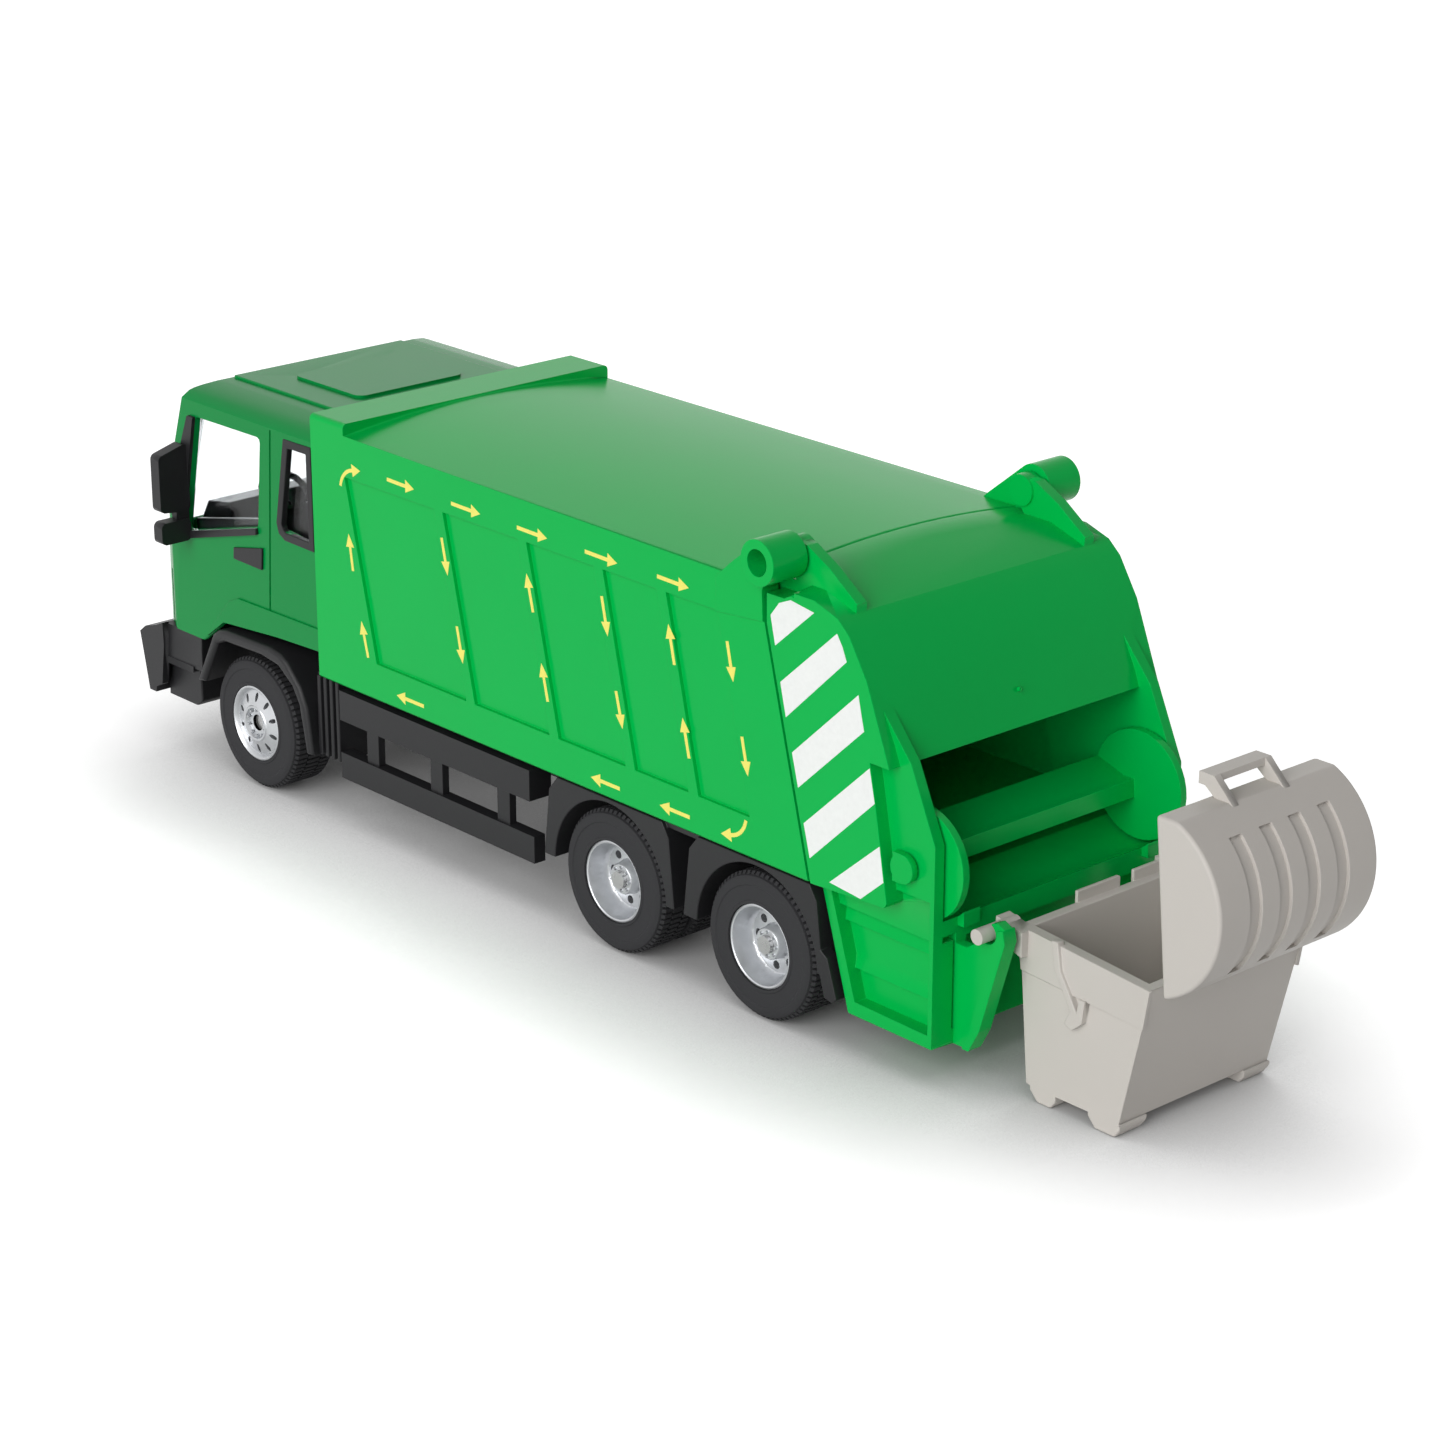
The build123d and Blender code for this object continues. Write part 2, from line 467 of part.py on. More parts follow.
def lid_handle():
    """Grip across the top edge, angled in section, on two legs with room for fingers behind it."""
    half = 5.3
    front = LID_X + LID_LEAN + 1.6
    top, foot = LID_Z + HANDLE_OUT, LID_Z + HANDLE_OUT - HANDLE_WIDE
    root = LID_Z + LID_TALL
    leg = [(LID_X - 3.3, root - 0.6), (front - 2.4, top), (front, top), (front, foot)]
    leg += [(front - HANDLE_THICK, foot), (LID_X - 0.6, root - 0.4)]
    grip = block(front - HANDLE_THICK, front, -half, half, foot, top)
    grip += block(front - 2.4, front, -half, half, top - HANDLE_THICK, top)
    return both(slab(leg, half - 1.1, half)) + grip


def from_floor(points):
    """x-z points given above the cab's floor, at their heights on the truck."""
    return [(x, CAB_FLOOR_Z + z) for x, z in points]


CAB_X = CAB_GAP
CAB_SIDE = [(CAB_X, CAB_FLOOR_Z), (CAB_X, CAB_TOP), (CAB_NOSE_X - 11.0, CAB_TOP),
            (CAB_NOSE_X - 9.6, CAB_TOP - 0.8), (CAB_NOSE_X - 8.8, CAB_TOP - 2.1),
            (CAB_NOSE_X - 0.5, CAB_FLOOR_Z + 7.5), (CAB_NOSE_X, CAB_SKIRT_Z),
            (WHEEL_X + 1.154 * TYRE_R, CAB_SKIRT_Z), (WHEEL_X + 0.596 * TYRE_R, CAB_FLOOR_Z - 1.7),
            (WHEEL_X - 0.779 * TYRE_R, CAB_FLOOR_Z - 0.5)]
CAB_FRONT = [(CAB_HALF, CAB_SKIRT_Z - 1), (CAB_HALF, CAB_TOP - 2.2), (CAB_HALF - 1.0, CAB_TOP - 1.1),
             (CAB_HALF - 2.8, CAB_TOP - 0.4), (CAB_HALF - 5.6, CAB_TOP)]
DOOR_WINDOW = [(31.1, 30.0), (14.3, 30.2), (15.7, 16.0), (35.1, 11.0)]
REAR_WINDOW = [(7.6, 30.4), (2.6, 30.5), (2.6, 16.4), (10.0, 17.0)]
SCREEN_FOOT, SCREEN_TOP = CAB_FLOOR_Z + 10.6, CAB_FLOOR_Z + 30.0
SCREEN_SIDE = 4.4         # windscreen's edge inside the cab's side


def cab_solid(inset=0.0):
    """Outer form of the cab, or the same form drawn in by a wall: side, front and plan outlines."""
    half = CAB_HALF + 1
    side = make_face(Polyline(*[(x, 0, z) for x, z in CAB_SIDE], close=True))
    mirrored = [(-y, z) for y, z in reversed(CAB_FRONT)]
    front = make_face(Polyline(*[(0, y, z) for y, z in CAB_FRONT + mirrored], close=True))
    cut = CORNER_CUT
    plan = [(0, CAB_HALF), (CAB_NOSE_X - 2 * cut, CAB_HALF), (CAB_NOSE_X, CAB_HALF - cut)]
    plan += [(x, -y) for x, y in reversed(plan)]
    plan = make_face(Polyline(*[(x, y, 0) for x, y in plan], close=True))
    if inset:
        side, front, plan = offset(side, -inset), offset(front, -inset), offset(plan, -inset)
    shape = (Pos(0, -half, 0) * extrude(side, amount=2 * half, dir=(0, 1, 0)))
    return shape & extrude(front, amount=NOSE_X, dir=(1, 0, 0)) & extrude(plan, amount=CAB_TOP + 5, dir=(0, 0, 1))


def cab_shell():
    shape = cab_solid() - cab_solid(CAB_WALL)
    inside = CAB_HALF - CAB_WALL
    open_front = CAB_NOSE_X - CAB_WALL - 0.4
    foot = [(CAB_X + CAB_WALL, CAB_FLOOR_Z + 3), (CAB_X + CAB_WALL, 19), (open_front, 19)]
    foot += [(open_front, CAB_FLOOR_Z + 3)]
    shape -= slab(foot, -inside, inside)
    for window in (from_floor(DOOR_WINDOW), from_floor(REAR_WINDOW)):
        shape -= both(slab(window, inside - 1, CAB_HALF + 1, PANE_ROUND))
    seam = from_floor([(11.4, 32.0), (11.8, 32.0), (13.7, 3.4), (13.3, 3.4)])
    shape -= both(slab(seam, CAB_HALF - SEAM_DEEP, CAB_HALF + 1))
    reach = CAB_HALF - SCREEN_SIDE
    shape -= block(CAB_NOSE_X - 15, NOSE_X, -reach, reach, SCREEN_FOOT, SCREEN_TOP)
    middle, panel = CAB_HALF - 8.0, CAB_HALF - 14.0
    shape += block(CAB_X, CAB_NOSE_X - 11.4, -middle, middle, CAB_TOP - 0.2, CAB_TOP + ROOF_STEP)
    roof = block(8.0, CAB_NOSE_X - 18.4, -panel, panel, CAB_TOP, CAB_TOP + 2 * ROOF_STEP)
    return shape + fillet(roof.edges().filter_by(Axis.Z), 1.6)


def cab_glazing():
    """Clear panes that lie against the inner face of the cab's walls."""
    inside = CAB_HALF - CAB_WALL
    shapes = []
    for window in (from_floor(DOOR_WINDOW), from_floor(REAR_WINDOW)):
        outline = make_face(Polyline(*[(x, inside - PANE, z) for x, z in window], close=True))
        glass = extrude(offset(outline, PANE_LAP), amount=PANE, dir=(0, 1, 0))
        shapes += [glass, other_side(glass)]
    front = cab_solid(CAB_WALL) - cab_solid(CAB_WALL + PANE)
    reach = CAB_HALF - SCREEN_SIDE + PANE_LAP
    shapes.append(front & block(CAB_NOSE_X - 14, NOSE_X, -reach, reach,
                                SCREEN_FOOT - PANE_LAP, SCREEN_TOP + PANE_LAP))
    return Compound(children=[part for shape in shapes for part in shape.solids()])


def cab_interior():
    """Floor, dashboard, door linings and two seats, moulded as one black piece."""
    inside = CAB_HALF - CAB_WALL - 0.1
    floor_top = CAB_FLOOR_Z + 1.2
    front = CAB_NOSE_X - CAB_WALL - 1.4
    shape = block(CAB_X + CAB_WALL + 0.1, front, -inside + 2, inside - 2, CAB_FLOOR_Z, floor_top)
    shape += block(CAB_X + CAB_WALL + 0.1, front - 6, -inside, inside, CAB_FLOOR_Z, floor_top)
    dash = [(front, 1.2), (front - 0.6, 7.4), (front - 2.4, 11.0), (front - 4.4, 14.4)]
    dash += [(front - 10.2, 15.4), (front - 11.0, 12.0), (front - 9.0, 1.2)]
    shape += slab(from_floor(dash), -inside + 4.4, inside - 4.4)
    lining = [(front - 6.4, 1.2), (front - 6.0, 12.6), (12.6, 17.6), (12.6, 1.2)]
    shape += both(slab(from_floor(lining), inside - PANE - 1.4, inside - PANE - 0.3))
    seat = [(24.0, 1.2), (24.6, 6.2), (17.4, 5.6), (14.0, 19.0), (11.0, 19.0), (13.6, 1.2)]
    return shape + both(slab(from_floor(seat), 5.5, 16.5, 0.8))


def steering_wheel():
    """Twelve-sided rim with two spokes on its column."""
    radius, thick = 4.2, 0.8
    ring = RegularPolygon(radius, 12) - RegularPolygon(radius - thick, 12)
    shape = extrude(ring, amount=thick) + Pos(0, 0, thick / 2) * Box(2 * radius - thick, 1.0, 0.7)
    column = Cylinder(0.5, 5.4, align=(Align.CENTER, Align.CENTER, Align.MAX))
    place = Pos(CAB_NOSE_X - 16.52, 11.0, CAB_FLOOR_Z + 16.4)
    return place * Rot(0, -35, 0) * (shape + Pos(0, 0, thick / 2) * column)


def door_handle():
    outline = from_floor([(22.0, 11.4), (14.5, 13.0), (14.8, 9.5), (22.1, 9.6)])
    return slab(outline, CAB_HALF, CAB_HALF + 0.4)


def cab_mirror():
    """Trim along the front of the door window, arm and two mirror housings."""
    trim = [(31.1, 30.0), (35.1, 11.0), (15.7, 15.9), (15.6, 14.9), (36.6, 9.4), (37.2, 14.0)]
    trim += [(35.4, 23.4), (32.6, 30.0)]
    shape = slab(from_floor(trim), CAB_HALF, CAB_HALF + TRIM)
    root = CAB_HALF + TRIM - 0.3
    end = CAB_HALF + MIRROR_OUT + 1.0
    x0, x1 = 33.2, 35.4
    foot, top = CAB_FLOOR_Z + 14.6, CAB_FLOOR_Z + 25.6
    housing = [(x0, root, foot), (x0, root, top), (x0, end, top - 1.5), (x0, end, foot + 0.6)]
    housing = extrude(make_face(Polyline(*housing, close=True)), amount=x1 - x0, dir=(1, 0, 0))
    shape += fillet(housing.edges().filter_by(Axis.X), 0.9)
    small = block(x0, x1, root, end, foot - 4.6, foot - 1.1)
    shape += fillet(small.edges().filter_by(Axis.X), 0.9)
    return shape + block(x0 + 0.4, x1 - 0.4, root, root + 2.3, foot - 1.6, foot + 0.4)


def grille():
    """Ribbed panel on the cab's front, under the windscreen."""
    proud = 0.5
    half = CAB_HALF - 7.0
    foot, top = CAB_SKIRT_Z + 1.4, SCREEN_FOOT - 4.0
    front = make_face(Polyline(*[(x, 0, z) for x, z in CAB_SIDE], close=True))
    skin = Pos(0, -half, 0) * extrude(offset(front, proud) - front, amount=2 * half, dir=(0, 1, 0))
    shape = skin & block(CAB_NOSE_X - 2.4, NOSE_X, -half, half, foot, top)
    for step in range(4):
        z = foot + 1.6 + 2.4 * step
        shape -= block(CAB_NOSE_X - 2.4, NOSE_X, -half + 2, half - 2, z, z + 1.1)
    return shape


NOSE_TOP = (NOSE_X, CAB_SKIRT_Z - 2.7)
NOSE_FOOT = (NOSE_X - 2.0, 9.0)


def front_bumper():
    """Black panel under the door, lower valance and the wide nose with its winglets."""
    step_z = 15.2
    top = CAB_SKIRT_Z - 0.1
    upper = slab([(BUMPER_REAR, step_z), (BUMPER_REAR, top), (CAB_NOSE_X - 0.4, top),
                  (CAB_NOSE_X + 0.6, step_z)], -CAB_HALF + 0.4, CAB_HALF - 0.4)
    valance = [(BUMPER_REAR + 2.4, step_z), (CAB_NOSE_X + 0.6, step_z), (CAB_NOSE_X + 1.0, 8.4)]
    valance += [(BUMPER_REAR + 3.6, 8.4), (BUMPER_REAR + 2.4, 9.4)]
    lower = slab(valance, -CAB_HALF + 1.6, CAB_HALF - 1.6)
    step = block(BUMPER_REAR + 2.4, CAB_NOSE_X, -CAB_HALF + 0.2, CAB_HALF - 0.2, step_z - 0.8, step_z + 0.3)
    x = CAB_NOSE_X
    nose = [(x - 1.0, top), (x + 3.8, top - 1.4), NOSE_TOP, NOSE_FOOT, (x + 1.6, 9.0), (x + 0.6, step_z)]
    reach = CAB_HALF + FIN_OUT
    winglet = [(x - 1.1, top + 0.3), (x + 4.5, NOSE_TOP[1] + 0.4), (x + 2.4, 9.4), (x - 0.2, 10.8)]
    winglet += [(x - 1.2, 17.5)]
    return upper + lower + step + slab(nose, -reach, reach) + both(slab(winglet, reach - 1.2, reach))


def headlamp():
    proud = 0.35
    top, foot = NOSE_TOP[1] - 1.9, NOSE_FOOT[1] + 3.0
    top_x, foot_x = on_line(NOSE_FOOT, NOSE_TOP, top), on_line(NOSE_FOOT, NOSE_TOP, foot)
    outline = [(top_x, top), (foot_x, foot), (foot_x + proud, foot), (top_x + proud, top)]
    return slab(outline, CAB_HALF - 11.0, CAB_HALF - 4.0)


# Fender's outer and inner outline, in tyre radii ahead of and above the wheel's centre
FENDER_OUT = [(1.26, 0.375), (0.79, 1.235), (0.66, 1.32), (0.47, 1.365), (-0.635, 1.394), (-0.9, 1.35),
              (-1.07, 1.26), (-1.375, 0.962), (-1.519, 0.673), (-1.635, -0.019)]
FENDER_IN = [(-1.48, -0.048), (-1.337, 0.692), (-1.183, 0.933), (-0.856, 1.154), (-0.433, 1.212),
             (0.5, 1.18), (0.69, 1.1), (1.067, 0.404)]


def front_fender():
    """Arch over the front wheel, with the ribbed flap behind it."""
    outline = [(WHEEL_X + x * TYRE_R, TYRE_R + z * TYRE_R) for x, z in FENDER_OUT + FENDER_IN]
    shape = slab(outline, RAIL_OUT, CAB_HALF + 1.2)
    flap_out = CAB_HALF - 1.6
    flap_foot = TYRE_R - 0.2
    knee = DECK_Z - 4.9
    shape += block(FLAP_BACK, FLAP_FRONT, RAIL_OUT, flap_out, knee, DECK_Z)
    shape += block(FLAP_BACK, FLAP_FRONT - 0.4, flap_out - 5.4, flap_out, flap_foot, knee)
    for step in range(4):
        x = FLAP_BACK + 1.5 * step
        shape += block(x, x + 0.8, flap_out, flap_out + 1.2, flap_foot, DECK_Z)
    return shape


def chassis():
    """Two rails, deck plate, cross members and the blocks that hold the axles."""
    tail = REAR_FOOT_X - 0.5
    rail = block(tail, BUMPER_REAR, RAIL_IN, RAIL_OUT, RAIL_FOOT, DECK_Z)
    for _, x, _ in AXLES:
        rail += slab([(x - 4.6, RAIL_FOOT), (x - 2.6, TYRE_R - 2.6), (x + 2.6, TYRE_R - 2.6),
                      (x + 4.6, RAIL_FOOT)], RAIL_IN, RAIL_OUT)
        rail -= rod(x, TYRE_R, AXLE_R + RUNNING, RAIL_IN - 1, RAIL_OUT + 1)
    shape = both(rail)
    between = (AXLES[1][1] + AXLES[2][1]) / 2
    room = (AXLES[0][1] - AXLES[1][1]) / 3
    for x in (5.0, AXLES[1][1] + 1.5 * room, AXLES[1][1] + 0.5 * room, between, REAR_FOOT_X + 2.0):
        shape += block(x - 1.5, x + 1.5, -RAIL_IN, RAIL_IN, MEMBER_FOOT, DECK_Z)
    shape += block(BUMPER_REAR - 3.0, BUMPER_REAR, -RAIL_IN, RAIL_IN, MEMBER_FOOT, DECK_Z)
    shape += block(REAR_FOOT_X + 1.0, -0.4, -HOPPER_HALF, HOPPER_HALF, DECK_Z, FLOOR_Z)
    return shape + block(6.0, BUMPER_REAR + 1.0, -RAIL_OUT, RAIL_OUT, DECK_Z, CAB_FLOOR_Z)


def side_guard():
    """Locker rail under the container, lower rail and the posts between them."""
    inner = GUARD_Y - 4.0
    top = DECK_Z - 0.8
    foot = top - 4.7
    low_top = foot - 5.1
    shape = block(GUARD_REAR + 0.9, GUARD_FRONT, inner, GUARD_Y, foot, top)
    shape += block(GUARD_REAR, GUARD_FRONT, GUARD_Y - 2.0, GUARD_Y, low_top - 4.1, low_top)
    for behind in (6.1, 21.4, 36.9):
        front = GUARD_FRONT - behind
        shape += block(front - 2.8, front, GUARD_Y - 1.6, GUARD_Y - 0.4, low_top, foot)
        shape += block(front - 2.8, front, inner, GUARD_Y - 2.0, top, DECK_Z)
    return shape


def mudguard():
    """Two arches with round openings over the rear wheels, joined under the deck."""
    # per axle, beyond the tyre's radius: front foot, front top, rear top and rear foot
    arches = ((3.8, 1.2, 1.0, 3.1), (4.2, 1.6, 0.2, 2.5))
    shape = block(AXLES[2][1] + 9.0, AXLES[1][1] - 8.4, RAIL_OUT, GUARD_Y - 0.6, DECK_Z - 0.9, DECK_Z)
    foot = TYRE_R + 0.2
    for axle, reaches in zip(AXLES[1:], arches):
        x = axle[1]
        front, front_top, rear_top, rear = [TYRE_R + reach for reach in reaches]
        outline = [(x + front, foot), (x + front_top + 1.4, DECK_Z - 2.2), (x + front_top - 0.4, DECK_Z)]
        outline += [(x - rear_top + 0.4, DECK_Z), (x - rear_top - 1.0, DECK_Z - 2.2), (x - rear, foot)]
        arch = slab(outline, RAIL_OUT, GUARD_Y)
        shape += arch - rod(x, TYRE_R, TYRE_R + ARCH_GAP, RAIL_OUT - 1, GUARD_Y + 1)
    x, z = AXLES[2][1] - TYRE_R - 2.2, TYRE_R
    tab = [(x + 0.9, z + 4.2), (x - 1.1, z + 3.0), (x - 2.9, z - 2.4), (x - 2.2, z - 3.1)]
    tab += [(x - 0.6, z - 2.8), (x + 0.4, z + 0.6)]
    return shape + slab(tab, GUARD_Y - 2.0, GUARD_Y)


def turned(stations, sides):
    """Solid of revolution about Y in flat facets, through (y, radius) stations."""
    turns = [360 / sides * step for step in range(sides)]
    rings = [[Vector(radius, y, 0).rotate(Axis.Y, turn) for turn in turns] for y, radius in stations]
    faces = [Face(Wire.make_polygon(rings[0])), Face(Wire.make_polygon(rings[-1]))]
    for near, far in zip(rings, rings[1:]):
        for step in range(sides):
            corners = [near[step - 1], near[step], far[step], far[step - 1]]
            faces.append(Face(Wire.make_polygon(corners)))
    return Solid(Shell(faces))


def tyre(width, twin):
    """Tyre with its outer face at TRACK_OUT; the wide one is a twin with a gap between."""
    inner = TRACK_OUT - width
    stations = [(inner, TYRE_R - SHOULDER), (inner + SHOULDER, TYRE_R)]
    if twin:
        middle = (inner + TRACK_OUT) / 2
        stations += [(middle - 0.7, TYRE_R), (middle - 0.5, TWIN_GAP_R)]
        stations += [(middle + 0.5, TWIN_GAP_R), (middle + 0.7, TYRE_R)]
    stations += [(TRACK_OUT - SHOULDER, TYRE_R), (TRACK_OUT, TYRE_R - SHOULDER)]
    seat = turned([(inner, RIM_R), (TRACK_OUT, RIM_R)], RIM_SIDES)
    return turned(stations, TYRE_SIDES) - seat


def rim(width, dished):
    """Wheel disc: dished with round holes on the twin wheels, domed with slots in front."""
    inner = TRACK_OUT - width
    out = TRACK_OUT - RIM_SET_IN
    lip = RIM_R - 0.6
    depth = 2.9 if dished else 0.6
    shape = turned([(inner, RIM_R), (out, RIM_R), (out + 0.2, lip)], RIM_SIDES)
    shape -= turned([(out - depth, lip - 0.25 * depth), (out + 0.2, lip)], RIM_SIDES)
    if dished:
        shape += turned([(out - depth - 0.1, 2.3), (out - 1.2, 2.1)], RIM_SIDES)
        cutter, ring, count = RegularPolygon(0.75, 6), 3.4, 8
    else:
        shape += turned([(out - depth - 0.1, lip - 0.4), (out + 0.4, 2.6)], RIM_SIDES)
        shape -= turned([(out - 0.3, 2.0), (out + 0.5, 2.0)], RIM_SIDES)
        cutter, ring, count = Rectangle(1.2, 0.6), 4.0, 10
    for step in range(count):
        hole = Pos(ring, 0, 0) * extrude(cutter, amount=3.0, both=True)
        shape -= Pos(0, out - depth, 0) * Rot(-90, 0, 0) * Rot(0, 0, 360 / count * step) * hole
    return shape - rod(0, 0, AXLE_R, inner - 1, out + 1)


def axle_rod():
    reach = TRACK_OUT - 1.0
    return rod(0, 0, AXLE_R, -reach, reach)


def pieces():
    """Every node of the toy by its name."""
    made = {
        "container": container(),
        "tailgate": tailgate(),
        "packer_scoop": scoop(),
        "waste_bin": waste_bin(),
        "bin_lid": bin_lid(),
        "cab_shell": cab_shell(),
        "cab_glazing": cab_glazing(),
        "cab_interior": cab_interior(),
        "steering_wheel": steering_wheel(),
        "grille": grille(),
        "front_bumper": front_bumper(),
        "chassis_frame": chassis(),
    }
    pairs = {
        "door_handle": door_handle(),
        "mirror": cab_mirror(),
        "headlamp": headlamp(),
        "front_fender": front_fender(),
        "side_guard": side_guard(),
        "mudguard": mudguard(),
    }
    for name, x, twin in AXLES:
        width = TWIN_WIDTH if twin else SINGLE_WIDTH
        made[f"axle_{name}"] = Pos(x, 0, TYRE_R) * axle_rod()
        pairs[f"tyre_{name}"] = Pos(x, 0, TYRE_R) * tyre(width, twin)
        pairs[f"rim_{name}"] = Pos(x, 0, TYRE_R) * rim(width, twin)
    for name, shape in pairs.items():
        made[f"{name}_left"] = shape
        made[f"{name}_right"] = other_side(shape)
    return made


LID_BACK = LID_X - LID_DEEP
MIDDLE_X = (NOSE_X + LID_BACK) / 2

os.makedirs("parts", exist_ok=True)
for node, shape in pieces().items():
    export_step(Pos(-MIDDLE_X, 0, 0) * shape, f"parts/{node}.step")
print("middle", round(MIDDLE_X, 3))
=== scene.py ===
"""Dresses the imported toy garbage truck: rounded mouldings, wheels, prints, finishes, light and camera."""
import logging
import math
from dataclasses import dataclass
from enum import Enum
from typing import Callable, Iterable, Optional, Sequence, Union

import bmesh
import bpy
from bmesh.types import BMEdge, BMesh, BMVert
from mathutils import Matrix, Vector


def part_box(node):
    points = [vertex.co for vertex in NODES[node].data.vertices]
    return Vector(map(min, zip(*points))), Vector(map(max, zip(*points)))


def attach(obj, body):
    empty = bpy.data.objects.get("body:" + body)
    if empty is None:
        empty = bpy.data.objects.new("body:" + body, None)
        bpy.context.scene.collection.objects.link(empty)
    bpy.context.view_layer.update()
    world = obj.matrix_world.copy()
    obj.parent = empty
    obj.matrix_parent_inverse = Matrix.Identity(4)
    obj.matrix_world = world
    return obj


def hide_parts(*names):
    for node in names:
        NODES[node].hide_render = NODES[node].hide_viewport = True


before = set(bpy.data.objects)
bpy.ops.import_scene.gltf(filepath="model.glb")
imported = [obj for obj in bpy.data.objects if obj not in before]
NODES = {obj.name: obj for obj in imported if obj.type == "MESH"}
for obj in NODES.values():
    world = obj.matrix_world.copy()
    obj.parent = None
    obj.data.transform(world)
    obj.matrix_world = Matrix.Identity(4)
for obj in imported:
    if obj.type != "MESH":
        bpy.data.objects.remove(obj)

LOG = logging.getLogger("toy_truck")
MM = 0.001
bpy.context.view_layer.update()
HEADER_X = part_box("container")[1].x / MM     # front face of the container's header, in millimetres
BODY_Y = 25.0                                # container's and tailgate's sides, in millimetres
CAB_Y = 24.0                                 # cab's sides, in millimetres
PRINT_SUNK = 0.01                            # how far a print reaches into the plastic, in millimetres
PRINT_PROUD = 0.03                           # how far it stands out
CAD_MERGE = 0.000002                         # corners of a solid nearer than this, in metres, are one
SPIN_MERGE = 0.000001                        # the same where a spun shape closes
SECTOR_MERGE = 0.000003                      # the same where the sectors of a ring meet
FLAT_ANGLE = 0.8                             # faces of a solid that meet at less, in degrees, are one face
SHARP_ANGLE = 28.0                           # faces that meet at more, in degrees, have a sharp edge
ROOMY = 2.2                                  # room, in widths, over which an edge is rounded in full
TIGHT = 0.7                                  # room, in widths, under which an edge stays sharp
TIGHT_SHARE = 0.3                            # share of the width for the edges in between

Number = Union[int, float]
Point = tuple[float, float]
Box = tuple[Point, Point, Point]
Colour = tuple[float, float, float, float]


class Side(Enum):
    """Side of the truck, with the sign of its Y."""

    LEFT = 1
    RIGHT = -1

    @property
    def word(self) -> str:
        """Ending of the node names on this side."""
        return self.name.lower()


class Body(Enum):
    """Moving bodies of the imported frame."""

    TRUCK = "truck"
    TAILGATE = "tailgate"
    SCOOP = "scoop"
    BIN = "bin"
    LID = "lid"
    FRONT = "wheels_front"
    MIDDLE = "wheels_middle"
    REAR = "wheels_rear"


def linear(red: int, green: int, blue: int) -> Colour:
    """Turns a display colour into a linear one.

    Args:
        red: Red from 0 to 255.
        green: Green from 0 to 255.
        blue: Blue from 0 to 255.

    Returns:
        The linear colour with an alpha of 1.
    """
    def channel(value: int) -> float:
        """The standard curve from display values to light."""
        part = value / 255
        return part / 12.92 if part <= 0.04045 else ((part + 0.055) / 1.055) ** 2.4

    return channel(red), channel(green), channel(blue), 1.0


def toned(colour: Colour, share: float) -> Colour:
    """Darkens a colour with a share under 1, or lightens it with one over 1."""
    return tuple(min(1.0, part * share) for part in colour[:3]) + (1.0,)


# Shader building

class Signal:
    """A number that varies over a surface, so that shader maths reads as Python."""

    def __init__(self, shader: "Shader", socket: bpy.types.NodeSocket) -> None:
        """Wraps one output socket of a shader's tree."""
        self.shader = shader
        self.socket = socket

    def math(self, operation: str, *values: Union["Signal", Number]) -> "Signal":
        """Adds a Math node.

        Args:
            operation: Blender's name of the operation.
            values: The node's inputs in order.

        Returns:
            The node's result.
        """
        inputs = dict(enumerate(values))
        return self.shader.node("ShaderNodeMath", {"operation": operation}, inputs)

    def __add__(self, other: Union["Signal", Number]) -> "Signal":
        """Sum."""
        return self.math("ADD", self, other)

    __radd__ = __add__

    def __mul__(self, other: Union["Signal", Number]) -> "Signal":
        """Product."""
        return self.math("MULTIPLY", self, other)

    __rmul__ = __mul__

    def __sub__(self, other: Union["Signal", Number]) -> "Signal":
        """Difference."""
        return self.math("SUBTRACT", self, other)

    def __rsub__(self, other: Number) -> "Signal":
        """Difference with this signal taken away."""
        return self.math("SUBTRACT", other, self)

    def around(self, middle: Union["Signal", Number], spread: Number) -> "Signal":
        """Centres a signal that runs from 0 to 1 on another value.

        Args:
            middle: Value where the signal is a half.
            spread: Difference between the ends.

        Returns:
            The centred signal.
        """
        return middle + (self - 0.5) * spread


